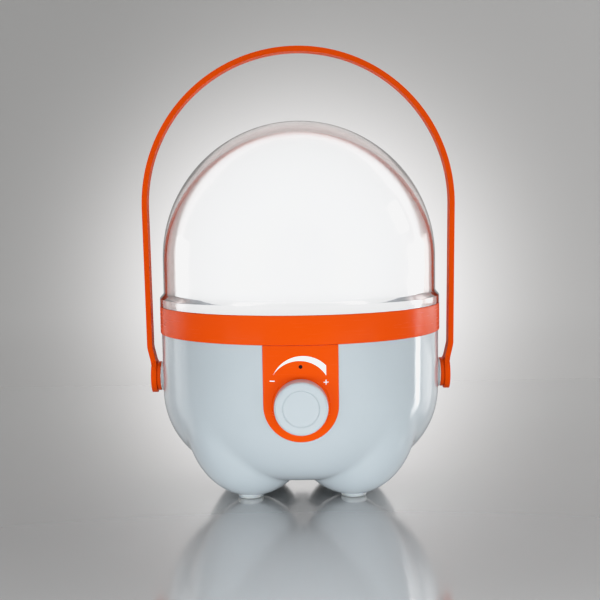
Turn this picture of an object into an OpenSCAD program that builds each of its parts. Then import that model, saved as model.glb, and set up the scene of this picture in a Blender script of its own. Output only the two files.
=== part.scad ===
// Portable dimmable lantern: a lobed bowl housing, a lit dome under a clear dome, and a swinging strap handle.
// Millimetres. The lantern's axis is Z, it stands on z = 0, and the dimmer knob faces -Y.

/* [Body] */
// Outer radius of the collar band, the widest part of the body
band_r = 70; // [68:0.5:72]
// Height of the lower edge of the collar band
band_z = 79.2; // [78:0.2:80]
// Height of the collar band
band_h = 13.2; // [12.6:0.2:14]
// Wall of the bowl housing
wall = 2.2; // [1.8:0.1:2.6]
// Radius of the rounded corner of the bowl
bowl_corner = 40; // [38:0.5:41]

/* [Feet] */
// Distance of each foot lobe's centre from the axis
lobe_out = 33; // [32:0.5:34]
// Distance of each foot pad's centre from the axis
pad_out = 35.4; // [34:0.2:36]
// Radius of a foot pad
pad_r = 6.2; // [5:0.2:7]

/* [Domes] */
// Outer radius of the clear dome
dome_r = 68.1; // [67.5:0.1:68.5]
// Wall of the clear dome
dome_wall = 3; // [2:0.1:3.2]
// Height where the clear dome's half sphere starts
dome_z = 115; // [110:1:125]
// Outer radius of the opal diffuser
diffuser_r = 62; // [60:0.5:62.5]
// Wall of the opal diffuser
diffuser_wall = 1.6; // [1.2:0.1:2.4]

/* [Handle] */
// Outer radius of the handle's top arch
arch_r = 78; // [77.8:0.1:79]
// Height of the arch's centre
arch_z = 141.6; // [140:0.2:150]
// Thickness of the handle strap
strap_t = 2.6; // [2.2:0.1:3]
// Width of the handle strap
strap_w = 8; // [6:0.5:10]
// Height of the handle's pivot axis
pivot_z = 56.2; // [55:0.2:58]

/* [Dimmer] */
// Height of the knob's axis
knob_z = 52.1; // [51.8:0.1:53.4]
// Radius of the knob at its base
knob_r = 12.2; // [11:0.1:12.6]
// Length of the knob
knob_h = 7.6; // [7:0.1:9]
// Width of the control panel
panel_w = 33.8; // [32:0.2:36]

/* [Hidden] */
$fn = 96;
eps = 0.01;
cut = 200;

// heights of the stack under the domes
band_top = band_z + band_h;
ledge_z = 84;
deck_z = 86;
deck_t = 3;
deck_top = deck_z + deck_t;
board_t = 1.6;
led_top = deck_top + board_t;

// bowl outline
bowl_r = band_r - 0.8;
bowl_top_r = band_r - 0.5;
bowl_floor = 9.7;
corner_r0 = bowl_r - bowl_corner;
corner_z = bowl_floor + bowl_corner;

// foot lobes: semi-axes of the ellipsoids
lobe_z = 42;
lobe_radial = 35.5;
lobe_side = 29.6;
lobe_tall = 41.5;
pad_top = 3;

// domes
skirt_h = 4;
skirt_slope = 2.3;
spigot_r = 66.4;
diffuser_z = 115.4;
diffuser_floor = 91;
diffuser_corner = 5;
foot_in = 50;
foot_out = 52.4;

// handle
leg_x = arch_r - 0.9;
pad_x = 75;
leg_low_z = 71;
pad_high_z = 62;
eye_r = 8.3;
disc_r = 7.3;
axle_r = 4;
axle_gap = 0.06;
disc_x = 70.4;
boss_x = 69.9;
axle_in_x = 62.6;

// dimmer, along -Y
seat_y = -69.8;
knob_back = -70.1;
knob_face = knob_back - knob_h;
pot_front = -64.5;
pot_depth = 8;
pot_r = 8;
shaft_r = 2.95;
bush_r = 3.5;
bush_end = -72.3;
knob_recess = 2.5;
indicator_z = knob_z + 17.6;

// screws
screw_r = 1.28;
pilot_r = 1.3;
deck_screw_out = 58.5;
board_screw_out = 22.5;

// battery and driver
cell_r = 9.2;
cell_len = 64;
cell_y = 9.7;
cell_z = 29.4;
tray_z = 17;
tray_x = 36;
tray_y = 21;
tray_top = 38.8;
clamp_top = tray_top + 2;
pcb_z = clamp_top + 6;
pcb_top = pcb_z + board_t;
plug_h = 6;
plug_top = pcb_top + plug_h;

// charging jack, along +Y
jack_z = 50;
jack_face = 68.9;
jack_flange_t = 1.5;
jack_back = 57.5;
jack_floor = 60;

// wires
wire_r = 0.75;

// ---------- shared shapes ----------

// outline of the bowl, moved inwards by off
module bowl_outline(off) {
  difference() {
    union() {
      translate([corner_r0, corner_z]) circle(r = bowl_corner - off);
      translate([0, bowl_floor + off]) square([corner_r0, corner_z - bowl_floor]);
      polygon([
        [0, corner_z], [bowl_r - off, corner_z],
        [bowl_top_r - off, band_z], [0, band_z]
      ]);
    }
    translate([-cut, -cut]) square([cut, 3 * cut]);
  }
}

module bowl(off) {
  rotate_extrude() bowl_outline(off);
}

module lobes(off) {
  for (a = [45:90:315])
    rotate([0, 0, a])
      translate([lobe_out, 0, lobe_z])
        scale([lobe_radial - off, lobe_side - off, lobe_tall - off])
          sphere(r = 1);
}

module body_form(off) {
  bowl(off);
  lobes(off);
}

// closed dome outline: a half circle on a straight wall with a rounded lower corner
module dome_outline(r, low, centre, corner) {
  intersection() {
    union() {
      translate([0, centre]) circle(r = r);
      translate([0, low + corner]) square([r, centre - low - corner]);
      translate([0, low]) square([r - corner, centre - low]);
      translate([r - corner, low + corner]) circle(r = corner);
    }
    translate([0, low]) square([r, cut]);
  }
}

// ring by radii and heights
module ring(r_in, r_out, low, high) {
  translate([0, 0, low])
    difference() {
      cylinder(r = r_out, h = high - low);
      translate([0, 0, -1]) cylinder(r = r_in, h = high - low + 2);
    }
}

// rod along Y between two places, centred at x, z
module rod_y(x, z, r, from, to) {
  translate([x, to, z]) rotate([90, 0, 0]) cylinder(r = r, h = to - from);
}

// rod along +X between two places, at the pivot height
module rod_x(r, from, to) {
  translate([from, 0, pivot_z]) rotate([0, 90, 0]) cylinder(r = r, h = to - from);
}

// copies on a square of four points
module at_corners(x, y) {
  for (sx = [-1, 1])
    for (sy = [-1, 1])
      translate([sx * x, sy * y, 0]) children();
}

// copies at both sides of the body
module both_sides() {
  children();
  mirror([1, 0, 0]) children();
}

module at_diagonals(out) {
  for (a = [45:90:315])
    rotate([0, 0, a]) translate([out, 0, 0]) children();
}

// pan head screw whose head stands on z = seat
module pan_screw(seat, length, head_r, head_h) {
  translate([0, 0, seat - length]) cylinder(r = screw_r, h = length + eps);
  difference() {
    translate([0, 0, seat]) cylinder(r = head_r, h = head_h);
    translate([0, 0, seat + head_h]) cube([head_r * 1.1, 0.7, head_h], center = true);
    translate([0, 0, seat + head_h]) cube([0.7, head_r * 1.1, head_h], center = true);
  }
}

// direction of the run that ends at point i, or starts there when i is the first
function run_dir(p, i) = let (d = i == 0 ? p[1] - p[0] : p[i] - p[i - 1]) d / norm(d);

// ring of points round point i, square to the run and mitred to the next one
function wire_ring(p, i, ref) =
  let (
    d = run_dir(p, i),
    next = run_dir(p, min(i + 1, len(p) - 1)),
    n = d + next,
    side = cross(ref, d) / norm(cross(ref, d)),
    up = cross(d, side)
  )
  [
    for (a = [0:45:315])
      let (q = wire_r * (cos(a) * side + sin(a) * up))
        p[i] + q - (i == 0 ? 0 : (q * n) / (d * n)) * d
  ];

// eight-sided wire along a list of points; ref is a direction that no run takes
module wire(points, ref) {
  last = len(points) - 1;
  polyhedron(
    points = [for (i = [0:last]) each wire_ring(points, i, ref)],
    faces = [
      [for (k = [7:-1:0]) k],
      for (i = [0:last - 1], k = [0:7])
        each [
          [8 * i + k, 8 * i + (k + 1) % 8, 8 * i + 8 + (k + 1) % 8],
          [8 * i + k, 8 * i + 8 + (k + 1) % 8, 8 * i + 8 + k]
        ],
      [for (k = [0:7]) 8 * last + k]
    ]
  );
}

// tongue shape of the panel, drilled right through along Y
module tongue(grow) {
  rod_y(0, knob_z, panel_w / 2 + grow, -cut, 0);
  translate([-panel_w / 2 - grow, -cut, knob_z])
    cube([panel_w + 2 * grow, cut, band_z - knob_z + grow]);
}

// ---------- domes and collar ----------

module outer_dome() {
  color("lightcyan", 0.3)
    rotate_extrude()
      difference() {
        union() {
          dome_outline(dome_r, band_top, dome_z, eps);
          translate([0, band_top]) square([band_r, skirt_h]);
          polygon([
            [0, band_top + skirt_h], [band_r, band_top + skirt_h],
            [dome_r, band_top + skirt_h + skirt_slope], [0, band_top + skirt_h + skirt_slope]
          ]);
          translate([0, deck_z]) square([spigot_r, band_top - deck_z + eps]);
          translate([0, deck_z + 1]) square([spigot_r + 0.6, 1.4]);
        }
        dome_outline(dome_r - dome_wall, deck_z - 1, dome_z, eps);
      }
}

module diffuser_dome() {
  color("white")
    rotate_extrude()
      difference() {
        union() {
          dome_outline(diffuser_r, diffuser_floor, diffuser_z, diffuser_corner);
          translate([0, deck_top - 1.2]) square([foot_out, 5]);
        }
        dome_outline(
          diffuser_r - diffuser_wall, diffuser_floor + diffuser_wall, diffuser_z,
          diffuser_corner - diffuser_wall
        );
        translate([0, deck_top - 2]) square([foot_in, 10]);
      }
}

module dome_seal() {
  color("dimgray") ring(spigot_r + 0.2, band_r - 1.2, band_top - 1, band_top);
}

module collar_band() {
  color("orangered")
    rotate_extrude()
      polygon([
        [band_r, band_z], [band_r, band_top], [band_r - 1.1, band_top], [band_r - 1.1, band_top - 1],
        [spigot_r + 0.2, band_top - 1], [spigot_r + 0.2, deck_z + 2.7],
        [spigot_r + 0.9, deck_z + 2.7], [spigot_r + 0.9, deck_z + 0.7],
        [spigot_r + 0.2, deck_z + 0.7], [spigot_r + 0.2, deck_z],
        [63, deck_z], [63, ledge_z], [band_r - 2.4, ledge_z], [band_r - 2.4, band_z]
      ]);
}

// ---------- bowl housing ----------

module deck_posts() {
  intersection() {
    at_diagonals(deck_screw_out) {
      translate([0, 0, 50]) cylinder(r = 3.8, h = deck_z - 50);
      translate([0, -1.5, 50]) cube([15, 3, band_z - 52]);
    }
    union() {
      body_form(1);
      cylinder(r = 63, h = deck_z);
    }
  }
}

module tray_posts() {
  intersection() {
    at_corners(15, 26) cylinder(r = 3.5, h = tray_z);
    body_form(1);
  }
}

module lower_housing() {
  color("gainsboro")
    difference() {
      union() {
        difference() {
          body_form(0);
          body_form(wall);
          translate([0, 0, band_z - wall - 1]) cylinder(r = bowl_top_r - wall, h = cut);
        }
        rotate_extrude()
          polygon([
            [band_r - 2.55, 71], [band_r - 2.55, ledge_z - 0.1],
            [65.4, ledge_z - 0.1], [65.4, 74]
          ]);
        deck_posts();
        tray_posts();
        both_sides() rod_x(7.6, 63, boss_x);
        intersection() {
          rod_y(0, knob_z, 10, -cut, pot_front);
          bowl(1.5);
        }
        intersection() {
          rod_y(0, indicator_z, 2.8, -cut, -63.5);
          bowl(1.5);
        }
        intersection() {
          rod_y(0, jack_z, 7.6, 65.5, cut);
          bowl(1.5);
        }
      }
      // pocket of the control panel
      difference() {
        tongue(0.1);
        bowl(1.1);
      }
      rod_y(0, knob_z, bush_r + 0.1, -cut, 0);
      rod_y(0, indicator_z, 0.95, -cut, -60);
      rod_y(0, indicator_z, 1.55, -66.6, -60);
      // charging jack
      rod_y(0, jack_z, 4.05, 0, cut);
      rod_y(0, jack_z, 6.2, jack_face, cut);
      // handle axles
      both_sides() rod_x(axle_r + axle_gap, 40, cut);
      at_diagonals(pad_out) translate([0, 0, -1]) cylinder(r = pad_r + 0.1, h = pad_top + 1);
      at_diagonals(deck_screw_out) translate([0, 0, 70]) cylinder(r = pilot_r, h = 20);
      at_corners(15, 26) translate([0, 0, 9]) cylinder(r = pilot_r, h = 20);
    }
}

module foot_pads() {
  color("whitesmoke")
    at_diagonals(pad_out) {
      cylinder(r1 = pad_r - 0.6, r2 = pad_r, h = 0.6);
      translate([0, 0, 0.6]) cylinder(r = pad_r, h = pad_top - 0.6);
    }
}

// ---------- control panel ----------

module control_panel() {
  color("orangered")
    difference() {
      union() {
        intersection() {
          tongue(0);
          difference() {
            bowl(-0.5);
            bowl(1.1);
          }
        }
        difference() {
          rod_y(0, knob_z, knob_r + 0.6, seat_y, -67);
          bowl(1.1);
        }
      }
      rod_y(0, knob_z, bush_r + 0.1, -cut, 0);
      rod_y(0, knob_z, 6.2, -cut, -69.3);
      rod_y(0, indicator_z, 0.95, -cut, 0);
      translate([-cut, -cut, band_z]) cube([2 * cut, 2 * cut, 10]);
    }
}

// brightness marks: a tapered arc between two circles, a minus and a plus
module marks_outline() {
  difference() {
    translate([0.9, knob_z + 8.1]) circle(r = 14.3);
    translate([-0.6, knob_z + 6.5]) circle(r = 13.8);
    translate([11.3, 0]) square([cut, cut]);
    translate([-cut, -cut]) square([2 * cut, cut + knob_z + 13.3]);
  }
  translate([-13.7, knob_z + 11.05]) square([2.1, 0.4]);
  translate([10, knob_z + 10.3]) square([2.4, 0.4]);
  translate([11, knob_z + 9.3]) square([0.4, 2.4]);
}

module panel_marks() {
  color("white")
    intersection() {
      rotate([90, 0, 0]) linear_extrude(height = 80) marks_outline();
      difference() {
        bowl(-0.64);
        bowl(-0.52);
      }
    }
}

module indicator_lens() {
  color("black") rod_y(0, indicator_z, 0.9, -69.85, -66.7);
}

module indicator_led() {
  color("lime") {
    rod_y(0, indicator_z, 1.5, -66.5, -62.9);
    rod_y(0, indicator_z, 1.9, -63, -62);
  }
}

// ---------- dimmer ----------

module dimmer_knob() {
  color("gainsboro")
    difference() {
      translate([0, knob_back, knob_z])
        rotate([90, 0, 0])
          rotate_extrude()
            difference() {
              union() {
                polygon([
                  [0, 0], [knob_r, 0], [knob_r - 0.3, knob_h - 1.3], [knob_r - 0.8, knob_h - 0.4],
                  [knob_r - 1.6, knob_h], [0, knob_h]
                ]);
              }
              // ring groove of the face
              polygon([
                [7.9, knob_h + 1], [7.9, knob_h - 0.3], [8.35, knob_h - 0.5],
                [8.8, knob_h - 0.3], [8.8, knob_h + 1]
              ]);
              // hollow back round the hub
              polygon([
                [4.6, -1], [knob_r - 2.4, -1], [knob_r - 2.4, knob_h - 2.4], [4.6, knob_h - 2.4]
              ]);
              square([4.61, 2 * knob_recess], center = false);
            }
      difference() {
        rod_y(0, knob_z, shaft_r + 0.05, knob_face + 1.4, 0);
        translate([-4, knob_face, knob_z + 1.5]) cube([8, 3.5, 4]);
      }
    }
}

module dimmer_shaft() {
  color("silver")
    difference() {
      rod_y(0, knob_z, shaft_r, knob_face + 1.6, -61);
      translate([-4, knob_face + 1, knob_z + 1.45]) cube([8, 3.4, 4]);
    }
}

module dimmer_wiper() {
  color("goldenrod")
    difference() {
      union() {
        rod_y(0, knob_z, 5, -61.8, -61);
        translate([-1, -61, knob_z + 3]) cube([2, 1.9, 1.6]);
      }
      rod_y(0, knob_z, shaft_r, -63, -60.99);
    }
}

module dimmer_case() {
  color("silver")
    difference() {
      rod_y(0, knob_z, pot_r, pot_front, pot_front + pot_depth);
      rod_y(0, knob_z, pot_r - 0.8, pot_front + 1, pot_front + pot_depth - 0.6);
      rod_y(0, knob_z, shaft_r + 0.1, -cut, -60);
      translate([-6.2, -59, knob_z - 12]) cube([12.4, 1.9, 12]);
    }
}

module dimmer_track() {
  color("saddlebrown")
    difference() {
      union() {
        rod_y(0, knob_z, pot_r - 0.9, -58.9, -57.2);
        translate([-6, -58.9, knob_z - 13]) cube([12, 1.7, 10]);
      }
      // printed track's groove
      difference() {
        rod_y(0, knob_z, 5.4, -60, -58.7);
        rod_y(0, knob_z, 2.6, -60, -58.7);
      }
    }
}

module dimmer_bushing() {
  color("gold")
    difference() {
      rod_y(0, knob_z, bush_r, bush_end, pot_front);
      rod_y(0, knob_z, shaft_r + 0.05, -cut, 0);
    }
}

module dimmer_nut() {
  color("silver")
    difference() {
      translate([0, -69.8, knob_z]) rotate([90, 0, 0]) cylinder(r = 5.6, h = 1.6, $fn = 6);
      rod_y(0, knob_z, bush_r, -cut, 0);
    }
}

module dimmer_washer() {
  color("silver")
    difference() {
      rod_y(0, knob_z, 5.8, -69.8, -69.3);
      rod_y(0, knob_z, bush_r, -cut, 0);
    }
}

module dimmer_terminals() {
  color("silver")
    for (x = [-3, 0, 3])
      translate([x - 0.6, -58.3, knob_z - 16]) cube([1.2, 0.5, 3]);
}

// ---------- handle ----------

module leg() {
  translate([0, strap_w / 2, 0])
    rotate([90, 0, 0])
      linear_extrude(height = strap_w)
        polygon([
          [arch_r, arch_z], [leg_x, leg_low_z], [pad_x, pad_high_z], [pad_x, pivot_z],
          [pad_x - strap_t, pivot_z], [pad_x - strap_t, pad_high_z],
          [leg_x - strap_t, leg_low_z], [arch_r - strap_t, arch_z]
        ]);
}

module handle() {
  color("orangered")
    difference() {
      union() {
        translate([0, 0, arch_z])
          rotate([90, 0, 0])
            rotate_extrude(angle = 180)
              translate([arch_r - strap_t, -strap_w / 2]) square([strap_t, strap_w]);
        both_sides() {
          leg();
          rod_x(eye_r, pad_x - strap_t, pad_x);
        }
      }
      both_sides() rod_x(3, 60, 80);
    }
}

module handle_pivots() {
  color("red")
    both_sides()
      difference() {
        union() {
          rod_x(disc_r, disc_x, pad_x - strap_t);
          rod_x(3, pad_x - strap_t - eps, pad_x);
          rod_x(axle_r, axle_in_x, disc_x + eps);
        }
        rod_x(pilot_r, axle_in_x - 1, axle_in_x + 7);
      }
}

module pivot_washers() {
  color("silver")
    both_sides()
      difference() {
        rod_x(disc_r - 0.2, boss_x, disc_x - 0.1);
        rod_x(axle_r + 0.15, 60, 80);
      }
}

module pivot_retainers() {
  color("silver")
    both_sides()
      difference() {
        rod_x(6.2, axle_in_x - 1, axle_in_x);
        rod_x(1.5, 50, 70);
      }
}

module pivot_screws() {
  color("silver")
    both_sides()
      difference() {
        union() {
          rod_x(2.7, axle_in_x - 2.6, axle_in_x - 1);
          rod_x(screw_r, axle_in_x - 1 - eps, axle_in_x + 6);
        }
        translate([axle_in_x - 2.6, 0, pivot_z]) cube([1.6, 3.2, 0.7], center = true);
        translate([axle_in_x - 2.6, 0, pivot_z]) cube([1.6, 0.7, 3.2], center = true);
      }
}

// ---------- light ----------

module deck() {
  color("white")
    difference() {
      union() {
        translate([0, 0, deck_z]) cylinder(r = 64.6, h = deck_t);
        for (a = [30:120:270])
          rotate([0, 0, a]) translate([board_screw_out, 0, 80]) cylinder(r = 3.4, h = deck_z - 80 + eps);
      }
      translate([0, 0, deck_z - 1]) cylinder(r = 4, h = deck_t + 2);
      ring(foot_in - 0.1, foot_out + 0.1, deck_top - 1.2, deck_top + 1);
      for (a = [30:120:270])
        rotate([0, 0, a]) translate([board_screw_out, 0, 81]) cylinder(r = pilot_r, h = 20);
      at_diagonals(deck_screw_out) {
        translate([0, 0, deck_z - 1]) cylinder(r = 1.6, h = deck_t + 2);
        translate([0, 0, deck_top - 1.6]) cylinder(r1 = 1.6, r2 = 3, h = 1.6 + eps);
      }
    }
}

module deck_screws() {
  color("silver")
    at_diagonals(deck_screw_out)
      difference() {
        union() {
          translate([0, 0, 72]) cylinder(r = screw_r, h = deck_top - 73);
          translate([0, 0, deck_top - 1.5]) cylinder(r1 = screw_r, r2 = 2.78, h = 1.5);
        }
        translate([0, 0, deck_top]) cube([3, 0.7, 1.6], center = true);
        translate([0, 0, deck_top]) cube([0.7, 3, 1.6], center = true);
      }
}

module led_board() {
  color("lightgray")
    difference() {
      translate([0, 0, deck_top]) cylinder(r = 48, h = board_t);
      translate([0, 0, deck_top - 1]) cylinder(r = 4, h = board_t + 2);
      for (a = [30:120:270])
        rotate([0, 0, a]) translate([board_screw_out, 0, deck_top - 1]) cylinder(r = 1.6, h = board_t + 2);
    }
}

// one ring of emitters
module led_ring(count, out) {
  for (i = [0:count - 1])
    rotate([0, 0, i * 360 / count])
      translate([out - 1.75, -1.4, led_top]) cube([3.5, 2.8, 0.8]);
}

module leds() {
  color("gold") {
    led_ring(8, 15);
    led_ring(14, 30);
    led_ring(20, 42);
  }
}

module led_board_screws() {
  color("silver")
    for (a = [30:120:270])
      rotate([0, 0, a]) translate([board_screw_out, 0, 0]) pan_screw(led_top, 8, 2.6, 1.6);
}

// ---------- battery and driver ----------

module battery_tray() {
  color("dimgray")
    difference() {
      union() {
        difference() {
          translate([-tray_x, -tray_y, tray_z]) cube([2 * tray_x, 2 * tray_y, tray_top - tray_z]);
          translate([2 - tray_x, 2 - tray_y, tray_z + 2])
            cube([2 * (tray_x - 2), 2 * (tray_y - 2), tray_top]);
        }
        for (x = [-22, 0, 22])
          translate([x - 1, 1.5 - tray_y, tray_z + 1]) cube([2, 2 * tray_y - 3, 7]);
        // ears for the tray screws and posts for the clamp screws
        for (sx = [-1, 1])
          for (sy = [-1, 1]) {
            translate([sx * 15 - 5, sy * (tray_y + 4) - 5, tray_z]) cube([10, 10, 2]);
            translate([sx * 28, sy * 23.5, tray_z]) cylinder(r = 3.2, h = tray_top - tray_z);
          }
      }
      for (s = [-1, 1])
        translate([-cell_len / 2 - 1, s * cell_y, cell_z])
          rotate([0, 90, 0]) cylinder(r = cell_r, h = cell_len + 2);
      at_corners(15, 26) translate([0, 0, tray_z - 1]) cylinder(r = 1.6, h = 4);
      at_corners(28, 23.5) translate([0, 0, tray_top - 10]) cylinder(r = pilot_r, h = 12);
    }
}

module battery_cells() {
  color("royalblue")
    for (s = [-1, 1])
      translate([-cell_len / 2, s * cell_y, cell_z])
        rotate([0, 90, 0]) {
          cylinder(r = cell_r, h = cell_len);
          cylinder(r = 3, h = cell_len + 0.8);
        }
}

module cell_tabs() {
  color("silver") {
    translate([cell_len / 2 + 0.8, -13, cell_z - 4]) cube([0.3, 26, 8]);
    translate([cell_len / 2 + 0.8, 2, cell_z]) cube([0.3, 6, 13]);
    translate([-cell_len / 2 - 0.3, -13, cell_z - 4]) cube([0.3, 26, 8]);
    translate([-cell_len / 2 - 0.3, 2, cell_z]) cube([0.3, 6, 13]);
  }
}

module battery_clamp() {
  color("dimgray")
    difference() {
      union() {
        translate([-31, -20, tray_top]) cube([62, 40, 2]);
        for (sx = [-1, 1])
          for (sy = [-1, 1])
            translate([sx * 27 - 4, sy * 22 - 5, tray_top]) cube([8, 10, 2]);
        at_corners(26, 17) translate([0, 0, tray_top]) cylinder(r = 3, h = pcb_z - tray_top);
      }
      at_corners(28, 23.5) translate([0, 0, tray_top - 1]) cylinder(r = 1.6, h = 4);
      at_corners(26, 17) translate([0, 0, tray_top + 1]) cylinder(r = pilot_r, h = 20);
    }
}

module tray_screws() {
  color("silver") at_corners(15, 26) pan_screw(tray_z + 2, 8, 2.6, 1.6);
}

module clamp_screws() {
  color("silver") at_corners(28, 23.5) pan_screw(clamp_top, 8, 2.6, 1.6);
}

module driver_board() {
  color("darkgreen")
    difference() {
      translate([-30, -22, pcb_z]) cube([60, 42.5, board_t]);
      at_corners(26, 17) translate([0, 0, pcb_z - 1]) cylinder(r = 1.5, h = board_t + 2);
    }
}

module board_screws() {
  color("silver") at_corners(26, 17) pan_screw(pcb_top, 6, 2.4, 1.5);
}

module driver_chips() {
  color("black") {
    translate([11, -14.5, pcb_top]) cube([6, 5, 1.6]);
    translate([-9, 2, pcb_top]) cube([5, 4, 1.6]);
    translate([-12, -9, pcb_top]) cube([6.5, 6, 2.3]);
  }
}

module driver_capacitors() {
  color("navy") {
    translate([-20, -6, pcb_top]) cylinder(r = 5, h = 12);
    translate([-20, 6.5, pcb_top]) cylinder(r = 4, h = 8);
  }
}

module driver_inductor() {
  color("darkslategray") {
    translate([4, -3, pcb_top]) cylinder(r = 6, h = 5);
  }
}

module wire_connectors() {
  color("ivory") {
    translate([-14, 12, pcb_top]) cube([8, 5, plug_h]);
    translate([-5, -20.5, pcb_top]) cube([10, 5, plug_h]);
    translate([17.5, 2, pcb_top]) cube([5, 8, plug_h]);
    translate([4, 14.5, pcb_top]) cube([8, 5, plug_h]);
  }
}

// ---------- charging jack ----------

module jack_body() {
  color("black")
    difference() {
      union() {
        rod_y(0, jack_z, 5.6, jack_face, jack_face + jack_flange_t);
        rod_y(0, jack_z, 3.95, jack_back, jack_face + eps);
      }
      rod_y(0, jack_z, 2.85, jack_floor, cut);
      rod_y(0, jack_z, 0.6, jack_floor - 1.5, cut);
    }
}

module jack_pin() {
  color("silver") {
    rod_y(0, jack_z, 1.05, jack_floor, 68.5);
    rod_y(0, jack_z, 0.6, jack_floor - 1.5, jack_floor + eps);
  }
}

module jack_nut() {
  color("silver")
    difference() {
      translate([0, 65.4, jack_z]) rotate([90, 0, 0]) cylinder(r = 6.2, h = 2.2, $fn = 6);
      rod_y(0, jack_z, 3.95, 0, cut);
    }
}

// ---------- wires ----------

module led_wires() {
  color("red")
    for (s = [-1, 1])
      wire([
        [s * 1.2 - 10, 14.5, plug_top], [s * 1.2 - 10, 14.5, 60], [s * 1.2, 0, 78],
        [s * 1.2, 0, 92.4], [s * 8, 0, 92.4], [s * 8, 0, led_top]
      ], [0, 1, 0]);
}

module dimmer_wires() {
  color("yellow")
    for (x = [-3, 0, 3])
      wire(
        [[x, -18, plug_top], [x, -18, 58], [x, -44, 54], [x, -53, 41], [x, -57.04, 38]],
        [1, 0, 0]
      );
}

module battery_wires() {
  color("red") {
    wire([[33.9, 5, 41], [37, 5, 50], [32, 5, 58], [20, 5, 58], [20, 5, plug_top]], [0, 1, 0]);
    wire([[-33.1, 5, 41], [-37, 5, 50], [-34, 8, 60], [20, 8, 60], [20, 8, plug_top]], [0, 1, 0]);
  }
}

module jack_wires() {
  color("black")
    for (s = [-1, 1])
      wire([
        [s * 1.6, jack_back, jack_z], [s * 1.6, 50, jack_z], [8 + s * 1.6, 28, 58],
        [8 + s * 1.6, 17, 58], [8 + s * 1.6, 17, plug_top]
      ], [1, 0, 0]);
}

module indicator_wires() {
  color("black")
    for (s = [-1, 1])
      wire([
        [s * 0.9, -62, indicator_z], [s * 0.9, -56, indicator_z], [8 + s, -40, 66],
        [8 + s, -12.5, 60], [8 + s, -12.5, pcb_top]
      ], [1, 0, 0]);
}

outer_dome();
diffuser_dome();
dome_seal();
collar_band();
control_panel();
panel_marks();
indicator_lens();
lower_housing();
foot_pads();
dimmer_knob();
dimmer_shaft();
dimmer_wiper();
dimmer_case();
dimmer_track();
dimmer_bushing();
dimmer_nut();
dimmer_washer();
dimmer_terminals();
handle();
handle_pivots();
pivot_washers();
pivot_retainers();
pivot_screws();
deck();
deck_screws();
led_board();
leds();
led_board_screws();
battery_tray();
battery_cells();
cell_tabs();
battery_clamp();
tray_screws();
clamp_screws();
driver_board();
driver_chips();
driver_capacitors();
driver_inductor();
wire_connectors();
board_screws();
jack_body();
jack_pin();
jack_nut();
indicator_led();
led_wires();
dimmer_wires();
battery_wires();
jack_wires();
indicator_wires();
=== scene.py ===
import math

import bmesh
import bpy
import numpy as np
from mathutils import Matrix, Vector


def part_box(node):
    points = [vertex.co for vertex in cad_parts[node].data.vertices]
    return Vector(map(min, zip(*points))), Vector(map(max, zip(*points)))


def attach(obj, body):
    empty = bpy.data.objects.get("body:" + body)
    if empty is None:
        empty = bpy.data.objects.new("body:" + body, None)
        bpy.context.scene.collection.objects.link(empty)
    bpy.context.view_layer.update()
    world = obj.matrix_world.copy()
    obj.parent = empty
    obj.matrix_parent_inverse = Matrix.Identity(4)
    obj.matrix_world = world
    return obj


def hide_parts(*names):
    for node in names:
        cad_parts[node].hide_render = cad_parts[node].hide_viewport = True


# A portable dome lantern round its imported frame. Metres, Z up, the dimmer knob faces -Y.

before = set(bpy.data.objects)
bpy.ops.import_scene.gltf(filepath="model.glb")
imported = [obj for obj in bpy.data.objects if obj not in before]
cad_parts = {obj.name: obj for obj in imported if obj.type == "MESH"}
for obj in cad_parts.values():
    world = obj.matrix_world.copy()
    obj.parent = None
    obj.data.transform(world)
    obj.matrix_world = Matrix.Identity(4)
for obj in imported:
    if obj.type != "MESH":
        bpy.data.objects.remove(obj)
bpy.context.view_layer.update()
mm = 0.001

# sizes that several pieces share, taken from the frame
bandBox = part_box("collar_band")
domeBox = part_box("outer_dome")
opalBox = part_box("diffuser_dome")
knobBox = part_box("dimmer_knob")
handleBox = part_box("handle")
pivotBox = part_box("handle_pivots")
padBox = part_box("foot_pads")
bandRadius = bandBox[1].x
bandLow = bandBox[0].z
bandTop = bandBox[1].z
knobRadius = (knobBox[1].x - knobBox[0].x) / 2
knobHeight = (knobBox[0].z + knobBox[1].z) / 2
pivotHeight = (pivotBox[0].z + pivotBox[1].z) / 2
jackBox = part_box("jack_body")
jackHeight = (jackBox[0].z + jackBox[1].z) / 2


# the camera stands a little above the dome's foot and looks slightly down
cameraSetup = {
    "distance": 0.532,  # from the lantern's axis
    "height": 0.137,
    "lens": 63.36,
    "sensor": 36.0,
    "pitch": 4.66,  # degrees below level
    "roll": 0.85,
    "aside": 0.0002,
    "clip": (0.01, 20),
    "straight": (0.35, 0.75),  # tones between these stay as they are
    "white": 0.915,  # the brightest that a highlight gets
}


def makeCamera():
    setup = cameraSetup
    data = bpy.data.cameras.new("studioCamera")
    data.lens = setup["lens"]
    data.sensor_width = setup["sensor"]
    data.clip_start, data.clip_end = setup["clip"]
    data.dof.use_dof = False
    camera = bpy.data.objects.new("studioCamera", data)
    bpy.context.scene.collection.objects.link(camera)
    place = Matrix.Translation((setup["aside"], -setup["distance"], setup["height"]))
    tilt = Matrix.Rotation(math.radians(90 - setup["pitch"]), 4, "X")
    roll = Matrix.Rotation(math.radians(-setup["roll"]), 4, "Z")
    camera.matrix_world = place @ tilt @ roll
    bpy.context.scene.camera = camera


def softHighlights():
    # bright whites roll off just short of full white, as a camera's do
    settings = bpy.context.scene.view_settings
    settings.view_transform = "Standard"
    settings.use_curve_mapping = True
    curves = settings.curve_mapping
    curves.extend = "HORIZONTAL"
    whole = curves.curves[3]
    whole.points[1].location = (1.0, cameraSetup["white"])
    for tone in cameraSetup["straight"]:
        whole.points.new(tone, tone)
    curves.update()


makeCamera()
softHighlights()
print("camera placed")


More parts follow.
